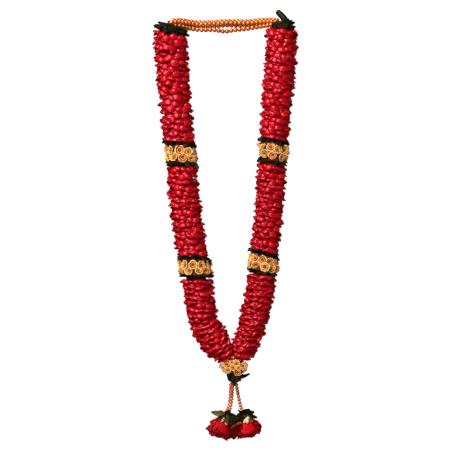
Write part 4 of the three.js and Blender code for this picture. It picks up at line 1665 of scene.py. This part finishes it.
@dataclass
class CottonString(Piece):
    """The string inside the ropes, and the thread wound round the ends of the bead strands."""

    finish: ClassVar[Finish] = Finish.COTTON
    ropes: Sequence[Rope]
    seed: int = SEED
    neck_winding: float = 0.42  # radius of a winding, as a share of its knot's
    tassel_winding: float = 0.6
    cord_sides: int = 8
    drum_sides: int = 28
    wrap: float = 1.1  # of the winding, along a drum
    plies: int = 3
    twist: float = 0.9  # of the plies, in radians to a millimetre
    bulge: float = 0.12  # how far they stand out

    def _cord(self, heap: Heap, points: Sequence[Sequence[float]]) -> None:
        """Adds a length of twisted cord.

        Args:
            heap: What it is added to.
            points: That it passes through.
        """
        route = Route(points, 12)
        s = np.linspace(0, route.length, max(12, int(route.length / 4)))
        turn = full_turn(self.cord_sides)
        plies = 1 + self.bulge * np.cos(self.plies * turn[None, :] + s[:, None] * self.twist)
        grid = route.at(s)[:, None] + ring_round(route.run(s), turn) * (STRING_RADIUS * plies)[..., None]
        along = np.broadcast_to((s / 20)[:, None] % 1.0, plies.shape)
        across = np.broadcast_to((turn / TURN)[None, :], plies.shape)
        heap.tube(grid, np.stack([along, across, 0 * along, 0 * along], axis=-1))

    def _drum(self, heap: Heap, centre: Point, axis: Array, length: float, half: Span) -> None:
        """Adds a wound drum of thread.

        Args:
            heap: What it is added to.
            centre: Of the drum.
            axis: The way that it lies.
            length: Of the drum.
            half: Half its width and half its height.
        """
        wraps = max(5, int(length / self.wrap))
        x = np.linspace(-0.5, 0.5, wraps * 4 + 1)
        wound = 0.93 + 0.05 * np.abs(np.sin(np.pi * wraps * (x + 0.5))) - 0.25 * np.abs(2 * x) ** 6
        side = unit(np.cross(axis, UP))
        turn = full_turn(self.drum_sides)
        ring = side * np.cos(turn)[:, None] * half[0] + UP * np.sin(turn)[:, None] * half[1]
        grid = np.array(centre) + axis * (x * length)[:, None, None] + ring[None] * wound[:, None, None]
        marks = np.zeros((*grid.shape[:2], 4))
        marks[..., 0] = ((x + 0.5) * 0.6)[:, None]
        marks[..., 1] = (turn / TURN)[None, :]
        heap.tube(grid, marks)

    def fill(self, heap: Heap, rng: Random) -> None:
        """Adds its cords and windings.

        Args:
            heap: What they are added to.
            rng: Where its small differences come from.
        """
        knit = np.array(CLUSTER_CENTRE) + (0, 4, 0)
        radius = NECK_BINDING_RADIUS * self.neck_winding
        for rope, tie in zip(self.ropes, (LEFT_BINDING, RIGHT_BINDING)):
            knot = (*tie, rope.route.at(0.0)[2])
            s = (np.arange(16) + 0.3) / 16 * rope.length
            self._cord(heap, [knot, *rope.route.at(s), rope.route.at(rope.length), knit])
            self._drum(heap, knot, np.array([1.0, 0, 0]), NECK_BINDING_LENGTH, (radius, radius))
        self._cord(heap, [knit + (0, 3, 0), knit, TASSEL_BINDING])
        half = (TASSEL_BINDING_HALF[0] * self.tassel_winding, TASSEL_BINDING_HALF[1] * self.tassel_winding)
        self._drum(heap, TASSEL_BINDING, np.array([0, -1.0, 0]), TASSEL_BINDING_LENGTH, half)


# ---------------------------------------------------------------- tassel


RED_BLOOM = Bloom(
    whorls=(
        Whorl(
            5, 1.4, ((0.24, 0.0), (0.60, 0.18), (0.80, 0.55), (0.87, 0.92), (0.99, 1.16)),
            phase=0.3, curl=0.07, drop=0.26,
        ),
        Whorl(
            5, 1.4, ((0.22, 0.03), (0.54, 0.26), (0.73, 0.66), (0.80, 1.05), (0.91, 1.28)),
            phase=0.9, curl=0.08, drop=0.24,
        ),
        Whorl(
            4, 1.45, ((0.18, 0.05), (0.50, 0.34), (0.73, 0.84), (0.75, 1.2), (0.82, 1.38)),
            phase=0.2, curl=0.08, drop=0.18,
        ),
        Whorl(
            4, 1.45, ((0.16, 0.08), (0.40, 0.44), (0.56, 1.00), (0.58, 1.3), (0.64, 1.44)),
            phase=1.0, curl=0.06, drop=0.14,
        ),
        Whorl(
            3, 1.5, ((0.12, 0.1), (0.28, 0.5), (0.38, 1.06), (0.44, 1.46)),
            phase=0.5, curl=0.05, drop=0.12,
        ),
    ),
    heart=((0.06, 0.1), (0.18, 0.6), (0.22, 1.1), (0.26, 1.5)),
    rows=13,
    columns=13,
    heart_columns=34,
    uneven=0.06,
    ragged=0.05,
)


@dataclass
class TasselRose:
    """A half-open red rose that lies on its side, with the leaves behind it."""

    base: Span  # seen from above
    faces: Span
    leaves: Sequence[Leaf]
    # Their fourth number darkens them with painted shade where they lie between and under the roses
    loose: Sequence[Leaf]  # petals that have come away from the bloom
    seed: int
    spin: float
    fold: RolledLeaf | None = None  # a petal's rolled edge
    radius: float = 25.5
    sepals: int = 5
    sepal_length: Span = (15.0, 20.0)  # least and most
    sepal_width: Span = (5.0, 6.5)
    # How far each ring of the stem lies behind the bloom, and its radius, which swells to the green hip
    stem: Sequence[Span] = (
        (STEM_LENGTH, 2.4), (9.0, 2.5), (7.0, 2.7), (5.5, 3.6),
        (4.0, 5.0), (2.5, 5.8), (1.2, 6.2), (0.3, 5.6),
    )

    def __post_init__(self) -> None:
        """Works out where the rose lies."""
        self.origin = np.array([*self.base, ROSE_REST])
        self.way = unit(np.array([*self.faces, 0.0]))

    def stem_top(self) -> Array:
        """Where the bead strands end, just behind the stem."""
        return self.origin - self.way * (STEM_LENGTH + TIE_GAP)

    def bloom(self, node: str) -> bpy.types.Object:
        """Makes the piece that stands for the rose's node.

        Args:
            node: The node.

        Returns:
            The piece.
        """
        rng = np.random.default_rng(self.seed)
        heap = Heap()
        set_bloom(heap, RED_BLOOM, rng, self.origin, self.way, self.radius, ROSE_WALL, self.spin)
        set_single_leaves(heap, rng, self.loose)
        if self.fold:
            self.fold.add(heap)
        return heap.piece(node, Finish.ROSE_PETALS)

    def greenery(self, node: str) -> bpy.types.Object:
        """Makes the piece that stands for the node of its leaves.

        Args:
            node: The node.

        Returns:
            The piece.
        """
        rng = np.random.default_rng(self.seed + 1)
        heap = Heap()
        self._stem(heap)
        set_single_leaves(heap, rng, self.leaves, 19)
        self._sepals(heap, rng)
        return heap.piece(node, Finish.DARK_LEAVES)

    def _stem(self, heap: Heap) -> None:
        """Adds the stem and the green hip that the bloom sits on.

        Args:
            heap: What they are added to.
        """
        behind, radius = np.array(self.stem).T
        centre = self.origin - self.way * behind[:, None]
        grid = centre[:, None] + ring_round(self.way, full_turn(18))[None] * radius[:, None, None]
        heap.tube(grid, STEM_MARKS)

    def _sepals(self, heap: Heap, rng: Random) -> None:
        """Adds narrow sepals that lie back along the bloom.

        Args:
            heap: What they are added to.
            rng: Where the differences between them come from.
        """
        n = self.sepals
        turn = TURN * (np.arange(n) + rng.uniform(-0.15, 0.15, n)) / n
        radial = ring_round(self.way, turn)
        way = radial * 0.9 + self.way * rng.uniform(0.05, 0.75, (n, 1))
        origin = self.origin - self.way * 1.6 + radial * 4.5
        sizes = np.stack([rng.uniform(*self.sepal_length, n), rng.uniform(*self.sepal_width, n)], axis=-1)
        shape = LeafShape(fold=(-14.0, 6.0), droop=(-0.2, 0.2), teeth=0.0, columns=5)
        set_leaves(heap, rng, shape, origin, way, radial - self.way, sizes, np.full(n, 0.15))


@dataclass
class ClusterLeaves(Piece):
    """The collar of leaves that closes the cluster below."""

    finish: ClassVar[Finish] = Finish.DARK_LEAVES
    seed: int = 61
    neck_below: float = 5.0  # how far below the cluster the middle of the leaves' packed feet is
    neck_height: float = 20.5
    neck_half: Point = (8.5, 5.5, 9.0)
    leaves: Sequence[Leaf] = (
        Leaf((14, -299, 22), (6.5, -280, 30), 9, 0.0, 24, (-0.4, -0.5, 1)),
        Leaf((15, -299, 24), (10, -279, 40), 12, 0.05, 24, (-0.2, -0.6, 1)),
        Leaf((17, -299, 26), (20, -281, 43), 13, 0.2, 20, (0.1, -0.6, 1)),
        Leaf((18, -298, 25), (28.5, -284, 40), 10, 0.05, 22, (0.3, -0.6, 1)),
        Leaf((21, -292, 24), (47.5, -282.5, 33), 8, 0.0, 30, (0.3, -0.4, 1)),
        Leaf((21, -290, 27), (35, -288, 37), 7, 0.2, 26, (0.3, -0.6, 1)),
        Leaf((20, -288, 34), (30.5, -296, 28), 8, 0.4, 24),
        Leaf((16, -289, 34), (12.5, -299, 27), 7, 0.15, 20),
        Leaf((14, -299, 14), (4.5, -283, 12), 11, 0.0, 24, (-0.5, -0.6, -0.6)),
        Leaf((18, -299, 12), (34, -283, 10), 13, 0.0, 24, (0.5, -0.6, -0.6)),
        Leaf((16, -299, 10), (17, -279, 6), 14, 0.0, 24, (0, -0.6, -1)),
    )

    def fill(self, heap: Heap, rng: Random) -> None:
        """Adds its leaves and their packed feet.

        Args:
            heap: What they are added to.
            rng: Where its small differences come from.
        """
        set_single_leaves(heap, rng, self.leaves)
        level = CLUSTER_CENTRE[1] - CLUSTER_HALF[1] - self.neck_below
        rise = np.linspace(-1.5, 1.5, 10)[:, None]
        turn = full_turn(20)[None, :]
        ball = (np.cos(rise) * np.cos(turn), np.cos(rise) * np.sin(turn), np.sin(rise) + 0 * turn)
        grid = np.stack(ball, axis=-1) * self.neck_half + (CLUSTER_CENTRE[0], level, self.neck_height)
        heap.tube(grid, NECK_MARKS)


# ---------------------------------------------------------------- the garland


PETAL_RUN: Span = (0.26, 1.0)  # a loose petal's, whose pale foot is hidden

# How each stretch of a rope is strung, from the neck down
STRINGINGS = (
    Stringing(),
    Stringing(
        loose=0.8,
        shape=PetalShape(width=(23.0, 3.0), bend=(94.0, 15.0), arch=(0.34, 0.84), cup=(10.5, 2.4)),
    ),
    Stringing(
        loose=0.4,
        petals=15,
        overhang=6.0,
        shape=PetalShape(
            width=(23.0, 3.0), bend=(80.0, 14.0), droop=40.0, arch=(0.42, 0.92), late=0.12, cup=(11.5, 2.0)
        ),
    ),
)


@dataclass
class DressedRope:
    """One rope with everything that is threaded on it."""

    side: str  # as its nodes are named
    rope: Rope
    seed: int
    top: LeafRuff
    blocks: Sequence[Span]  # where its rose bands are, with their ruffs
    first_turns: Sequence[Span]  # of each band's two rows of roses
    seam_side: float  # 1 for the left rope and -1 for the right one

    def build(self) -> None:
        """Builds its ruffs, stretches of petals and bands of roses."""
        self.top.build(f"{self.side}_top_ruff")
        edges = [self.top.end, *(edge for block in self.blocks for edge in block), self.rope.end]
        for i, stringing in enumerate(STRINGINGS):
            seam_side = self.seam_side if stringing is STRINGINGS[-1] else 0.0
            start, end = edges[2 * i : 2 * i + 2]
            stretch = PetalStretch(self.rope, start, end, self.seed + i + 1, stringing, seam_side)
            stretch.build(f"{self.side}_petals_{i + 1}")
        for i, (start, end) in enumerate(self.blocks):
            inner = (start + RUFF_THICKNESS, end - RUFF_THICKNESS)
            seed = self.seed + 4 + 3 * i
            LeafRuff(self.rope, start, inner[0], seed).build(f"{self.side}_ruff_{i + 1}a")
            RoseBand(self.rope, *inner, self.first_turns[i], seed + 1).build(f"{self.side}_roses_{i + 1}")
            LeafRuff(self.rope, inner[1], end, seed + 2).build(f"{self.side}_ruff_{i + 1}b")


LEFT_ROPE = Rope(
    axis=(
        (-104, 381), (-101.5, 320), (-94, 229), (-84.5, 142), (-75, 37), (-62, -48),
        (-50, -124), (-40, -182), (-29, -205), (-10, -230), (9, -251),
    ),
    reach=(36.0, 32.0),
    lean=(11.0, 17.0),
)
RIGHT_ROPE = Rope(
    axis=(
        (108, 381), (107, 320), (98, 229), (91, 138), (84.5, 37), (74, -56),
        (64, -136), (50.5, -192), (41, -220), (33, -237), (25, -254),
    ),
    reach=(33.5, 30.0),
    lean=(8.0, -22.0),
)

LEFT_DRESSED = DressedRope(
    side="left",
    rope=LEFT_ROPE,
    seed=SEED,
    top=LeafRuff(
        LEFT_ROPE, 8.0, 17.0, SEED, leaves=30, reach=0.92, rise=10.0, outer_turn=0.5,
        single=(
            Leaf((-92, 368, 60), (-127.3, 385, 50), 10),
            Leaf((-98, 364, 56), (-134.5, 377.5, 42), 11),
            Leaf((-88, 367, 63), (-116, 382.5, 57), 9),
            Leaf((-96, 372, 60), (-124, 380, 52), 9, 0.1),
            Leaf((-104, 370, 61), (-67.5, 358.5, 45), 11),
            Leaf((-107, 373, 62), (-76, 367.5, 52), 10, 0.05),
            Leaf((-98, 373, 60), (-72, 363, 50), 9),
            Leaf((-112, 368, 60), (-90, 362, 60), 9),
        ),
    ),
    blocks=((224.0, 271.0), (443.0, 486.0)),
    first_turns=((0.27, 0.234), (0.26, 0.22)),
    seam_side=1.0,
)
RIGHT_DRESSED = DressedRope(
    side="right",
    rope=RIGHT_ROPE,
    seed=SEED + 100,
    top=LeafRuff(
        RIGHT_ROPE, 2.0, 9.0, SEED + 100, leaves=30, reach=0.72, rise=10.0, outer_turn=0.0,
        single=(
            Leaf((108, 384, 52), (96, 378, 42), 5, 0.3),
            Leaf((115, 379, 57), (133, 384.4, 44), 8),
            Leaf((115, 381, 59), (127.3, 388.2, 48), 6),
            Leaf((113, 383, 59), (121.8, 391, 52), 5),
            Leaf((112, 375, 60), (134.5, 375.5, 44), 9),
            Leaf((118, 377, 60), (97.5, 378, 47), 8, 0.1),
            Leaf((119, 374, 60), (111, 389.5, 54), 10),
            Leaf((124, 378, 56), (102, 381, 54), 9),
        ),
        rolled=(RolledLeaf((121, 377, 52), (100.6, 404.2, 45), 6.8),),
    ),
    blocks=((219.0, 267.0), (433.0, 477.0)),
    first_turns=((0.29, 0.25), (0.27, 0.23)),
    seam_side=-1.0,
)

LEFT_ROSE = TasselRose(
    base=(-1.5, -369.0),
    faces=(-0.28, -1.0),
    leaves=(
        Leaf((0, -361, 27), (-26.5, -354.5, 34), 12, 0.9, 16, (0, -0.3, 1)),
        Leaf((0, -363, 27), (-18, -369, 39), 9, 0.1, 20, (-0.2, -0.2, 1)),
        Leaf((0, -360, 26), (4.5, -376, 47), 13, 0.2, 22, (-0.2, 0.6, 1), -0.1),
        Leaf((2, -360, 26), (12, -381, 50), 13, 0.0, 24, (0, 0.6, 1), -0.1),
        Leaf((3, -360, 26), (20, -380, 47), 14, 0.0, 24, (0.2, 0.5, 1), -0.1),
        Leaf((6, -362, 28), (27, -376, 42), 10, 0.0, 24, (0.2, 0.4, 1), -0.1),
        Leaf((3, -359, 26), (28, -369, 40), 11, 0.02, 26, (0.1, 0.3, 1), -0.05),
        Leaf((1, -361, 26), (9, -351, 38), 10, 0.05, 24, (0, 0, 1)),
        Leaf((0, -362, 16), (-16, -356, 8), 12, 0.1, 20, (0, 0.4, -1)),
        Leaf((2, -361, 17), (16, -366, 7), 12, 0.0, 20, (0, 0.4, -1)),
    ),
    # The fourth number of each loose petal is painted shade, strongest between the two roses
    loose=(
        Leaf((-15, -383.5, 35), (-37.5, -387.6, 27), 7, 0.5, 24, (-0.2, 0.4, 1), run=PETAL_RUN),
        Leaf((-8, -370, 36), (-29, -375.5, 35), 11, 0.3, 26, (-0.3, 0.3, 1), run=PETAL_RUN),
        Leaf((8, -372, 42), (18, -407, 30), 18, 0.95, 20, (0.4, 0, 1), run=PETAL_RUN),
        Leaf((7, -369, 31), (25, -385, 36), 17, 0.95, 20, (0.2, 0, 1), run=PETAL_RUN),
        Leaf((-1.5, -366, 38), (-8.0, -374, 42), 5, 0.0, -20, (-0.4, 0.3, 1), run=(0.06, 0.14)),
        Leaf((4, -371, 43), (2, -379.5, 46.5), 7, 0.0, -20, (0, 0.3, 1), run=(0.10, 0.17)),
    ),
    seed=71,
    spin=1.85,
)
RIGHT_ROSE = TasselRose(
    base=(36.0, -368.0),
    faces=(0.3, -1.0),
    leaves=(
        Leaf((35, -360, 26), (61.5, -365.5, 41), 10, 0.0, 24, (0.1, 0, 1)),
        Leaf((34, -359, 26), (56, -355, 38), 11, 0.06, 24, (0.1, 0, 1)),
        Leaf((34, -359, 27), (47.5, -349.5, 38), 13, 0.0, 24, (0, 0, 1)),
        Leaf((33, -359, 26), (39, -350.5, 38), 12, 0.0, 24, (0, 0, 1)),
        Leaf((33, -360, 26), (26, -373, 42), 12, 0.0, 24, (-0.1, 0.3, 1)),
        Leaf((35, -360, 28), (52, -372, 48), 9, 0.25, 24, (0.1, 0.5, 1), -0.05),
        Leaf((33, -359, 25), (25.5, -352, 36), 5, 0.05, 30, (0, 0, 1), 0.2),
        Leaf((36, -361, 16), (52, -356, 8), 12, 0.1, 20, (0, 0.4, -1)),
        Leaf((34, -361, 17), (22, -366, 7), 12, 0.0, 20, (0, 0.4, -1)),
    ),
    # The fourth number of each loose petal is painted shade, strongest between the two roses
    loose=(
        Leaf((30, -373, 42), (22, -402, 31), 18, 0.9, 20, (-0.4, 0, 1), run=PETAL_RUN),
        Leaf((32, -368, 32), (19, -378, 36), 15, 0.95, 20, (-0.2, 0, 1), run=PETAL_RUN),
        Leaf((50, -374, 38), (69, -386, 30), 15, 0.4, 24, (0.3, 0.2, 1), run=PETAL_RUN),
        Leaf((48, -372, 36), (64.5, -377, 34), 11, 0.4, 26, (0.3, 0.3, 1), run=PETAL_RUN),
        Leaf((48, -366, 40), (51.5, -375, 46), 6, 0.0, -20, (0.2, 0.3, 1), run=(0.08, 0.2)),
        Leaf((44.5, -364, 42), (35, -375, 44.5), 7, 0.0, -28, (-0.2, 0.3, 1), run=(0.0, 0.08)),
        Leaf((45, -364, 42), (42, -376, 46.5), 6, 0.0, -28, (0.2, 0.3, 1), run=(0.0, 0.1)),
    ),
    seed=81,
    spin=1.6,
    fold=RolledLeaf((31.5, -375.5, 45.5), (13.5, -384.0, 46.5), 2.2, 1.2, (0.176, 0.19)),
)


@dataclass
class Garland:
    """The whole garland, built in order from the neck to the tassel."""

    ropes: Sequence[DressedRope] = (LEFT_DRESSED, RIGHT_DRESSED)
    left_rose: TasselRose = field(default_factory=lambda: LEFT_ROSE)
    right_rose: TasselRose = field(default_factory=lambda: RIGHT_ROSE)

    def _neck_routes(self) -> dict[str, Route]:
        """Routes of the four neck strands, from the left binding to the right one.

        Returns:
            The routes, as their nodes are named.
        """
        zl, zr = float(LEFT_ROPE.route.at(0.0)[2]), float(RIGHT_ROPE.route.at(0.0)[2])
        xl = LEFT_BINDING[0] + NECK_BINDING_LENGTH / 2 + TIE_GAP
        xr = RIGHT_BINDING[0] - NECK_BINDING_LENGTH / 2 - TIE_GAP
        low, ride = TABLE_BEAD, RIDING_BEAD
        yl, yr = LEFT_BINDING[1], RIGHT_BINDING[1]
        tied = xl - TIED_OVER
        return {
            "back": Route([
                (tied + 3, yl + STACK, zl - STACK), (xl, yl + STACK, zl - STACK),
                (xl + 14, yl + STACK + 1, zl - 13), (-62, 387.6, low + 2),
                (-45, 386.6, low), (-20, 387.6, low), (0, 389, low), (45, 389.0, low), (66, 391, low + 2),
                (xr - 14, yr + STACK + 2, zr - 13), (xr, yr + STACK, zr - STACK),
            ]),
            "front": Route([
                (tied + 4, yl - STACK, zl - STACK), (xl, yl - STACK, zl - STACK),
                (xl + 14, yl - STACK, zl - 13), (-62, 379.2, low + 2),
                (-45, 378.0, low), (-20, 378.8, low), (0, 380.6, low), (45, 380.4, low), (66, 382.6, low + 2),
                (xr - 14, yr - STACK + 1, zr - 13), (xr, yr - STACK, zr - STACK),
            ]),
            "riding": Route([
                (tied - 4, yl - 3, zl + STACK + 1), (xl, yl, zl + STACK + 2),
                (xl + 14, yl + 1, zl - 2), (-62, 383.4, ride + 2),
                (-45, 382.4, ride), (0, 384.7, ride), (45, 384.7, ride), (66, 386.6, ride + 2),
                (xr - 14, yr + 2, zr - 3), (xr, yr + 1.5, zr + STACK + 1),
            ]),
            "loose": Route([
                (tied + 4, yl - STACK - 1, zl + STACK), (xl, yl - STACK - 1, zl + STACK),
                (xl + 16, yl - STACK - 3, zl - 4), (-60, 373.2, low + 6),
                (-42, 371.8, low + 5), (-22, 371.8, low + 4), (0, 369.3, low), (20, 371.8, low + 3),
                (42, 373.8, low + 5), (64, 377.4, low + 7),
                (xr - 16, yr - STACK - 0.5, zr - 3), (xr, yr - STACK, zr + STACK),
            ]),
        }

    def _tassel_routes(self) -> dict[str, Route]:
        """Routes of the three tassel strings, from their binding to the roses' stems.

        Returns:
            The routes, as their nodes are named.
        """
        left = self.left_rose.stem_top() + (2.0, 0, 0)
        apart = np.array([-self.left_rose.way[1], self.left_rose.way[0], 0.0]) * STRAND_SPREAD
        x, y, z = TASSEL_BINDING
        top, droop = y - TASSEL_BINDING_LENGTH / 2 - TIE_GAP, z - 7
        over = top + TIED_OVER
        return {
            "left": Route([
                (x - 5.4, over, z), (x - 5.8, top, z), (x - 7.0, y - 28, droop),
                (x - 10.0, y - 44, droop), left - apart,
            ]),
            "middle": Route([
                (x - 1.6, over, z + 3), (x - 2.2, top, z + 3), (x - 3.8, y - 28, droop + 3),
                (x - 6.6, y - 44, droop + 2), left + apart,
            ]),
            "right": Route([
                (x + 5.2, over, z), (x + 5.8, top, z), (x + 10.0, y - 28, droop), self.right_rose.stem_top(),
            ]),
        }

    def build(self) -> None:
        """Builds every piece."""
        for rope in self.ropes:
            rope.build()
        RoseCluster().build("cluster_roses")
        ClusterLeaves().build("cluster_leaves")
        CottonString([rope.rope for rope in self.ropes]).build("cotton_string")
        for i, (name, route) in enumerate(self._neck_routes().items()):
            offset = 0.5 if name in ("riding", "loose") else 0.0
            BeadStrand(route, NECK_BEAD, SEED + 200 + i, offset).build(f"neck_beads_{name}")
        for i, (name, route) in enumerate(self._tassel_routes().items()):
            offset = 0.5 if name == "middle" else 0.0
            strand = BeadStrand(route, TASSEL_BEAD, SEED + 210 + i, offset, ruddy=1.0, swell=1.2)
            strand.build(f"tassel_beads_{name}")
        for side, rose in (("left", self.left_rose), ("right", self.right_rose)):
            rose.bloom(f"{side}_tassel_rose")
            rose.greenery(f"{side}_tassel_leaves")


# ---------------------------------------------------------------- floor, light and camera


@dataclass(frozen=True)
class Lamp:
    """A soft square lamp, in metres."""

    name: str
    place: Point
    aim: Point  # the point that it faces
    power: float  # in watts
    size: float  # length of its side
    colour: Colour
    lights: bool = True  # False for one that is only seen in what is glossy

    def hang(self) -> None:
        """Adds the lamp to the scene."""
        light = bpy.data.lights.new(self.name, "AREA")
        light.energy, light.size, light.color = self.power, self.size, self.colour
        lamp = bpy.data.objects.new(self.name, light)
        lamp.location = self.place
        lamp.rotation_mode = "QUATERNION"
        lamp.rotation_quaternion = (Vector(self.aim) - Vector(self.place)).to_track_quat("-Z", "Y")
        lamp.visible_diffuse = self.lights
        bpy.context.scene.collection.objects.link(lamp)


@dataclass
class Studio:
    """A pale floor, soft light and a camera that looks straight down, in metres."""

    picture_width: float = 0.855  # width of the floor that the camera sees
    lens: float = 300.0  # in millimetres, as the sensor is
    sensor: float = 36.0
    mid_height: float = 0.031  # height of the ropes' axes
    floor_size: float = 8.0
    floor_light: float = 0.95
    sky: float = 0.28
    lamps: Sequence[Lamp] = (
        Lamp("key", (-1.0, 1.5, 1.7), (0.0, 0.0, 0.03), 56.0, 0.3, (1.0, 0.97, 0.94)),
        Lamp("fill", (-0.4, -0.1, 1.9), (0.0, -0.1, 0.03), 11.5, 0.4, (1.0, 0.98, 0.96)),
        Lamp("glint", (-0.8, 2.3, 1.2), (0.0, 0.0, 0.03), 80.0, 0.3, (1.0, 0.93, 0.92), lights=False),
    )

    def _floor(self) -> None:
        """Lays the floor."""
        half = self.floor_size / 2
        corners = [(-half, -half, 0), (half, -half, 0), (half, half, 0), (-half, half, 0)]
        mesh = bpy.data.meshes.new("floor")
        mesh.from_pydata(corners, [], [(0, 1, 2, 3)])
        floor = bpy.data.objects.new("floor", mesh)
        floor.visible_glossy = False
        bpy.context.scene.collection.objects.link(floor)
        material = Tree("pale_floor").finish(
            Base_Color=(0.35, 0.35, 0.35, 1.0),
            Roughness=0.9,
            Emission_Color=(1.0, 1.0, 1.0, 1.0),
            Emission_Strength=self.floor_light,
        )
        mesh.materials.append(material)

    def _sky(self) -> None:
        """Sets an even white sky, which glossy surfaces don't mirror."""
        world = bpy.data.worlds.new("sky")
        bpy.context.scene.world = world
        world.use_nodes = True
        colour, strength = world.node_tree.nodes["Background"].inputs[:2]
        colour.default_value, strength.default_value = (1.0, 1.0, 1.0, 1.0), self.sky
        world.cycles_visibility.glossy = False

    def _camera(self) -> None:
        """Sets the camera over the middle of the garland."""
        data = bpy.data.cameras.new("camera")
        data.lens, data.sensor_width = self.lens, self.sensor
        camera = bpy.data.objects.new("camera", data)
        distance = self.picture_width * self.lens / self.sensor
        camera.location = (SHIFT[0] * MM, SHIFT[1] * MM, self.mid_height + distance)
        bpy.context.scene.collection.objects.link(camera)
        bpy.context.scene.camera = camera

    def build(self) -> None:
        """Builds the floor, the light and the camera."""
        self._floor()
        self._sky()
        for lamp in self.lamps:
            lamp.hang()
        self._camera()
        bpy.context.scene.view_settings.view_transform = "Standard"


def main() -> None:
    """Builds the garland and its studio."""
    logging.basicConfig(level=logging.INFO, format="%(message)s")
    Garland().build()
    Studio().build()


if __name__ == "__main__":
    main()
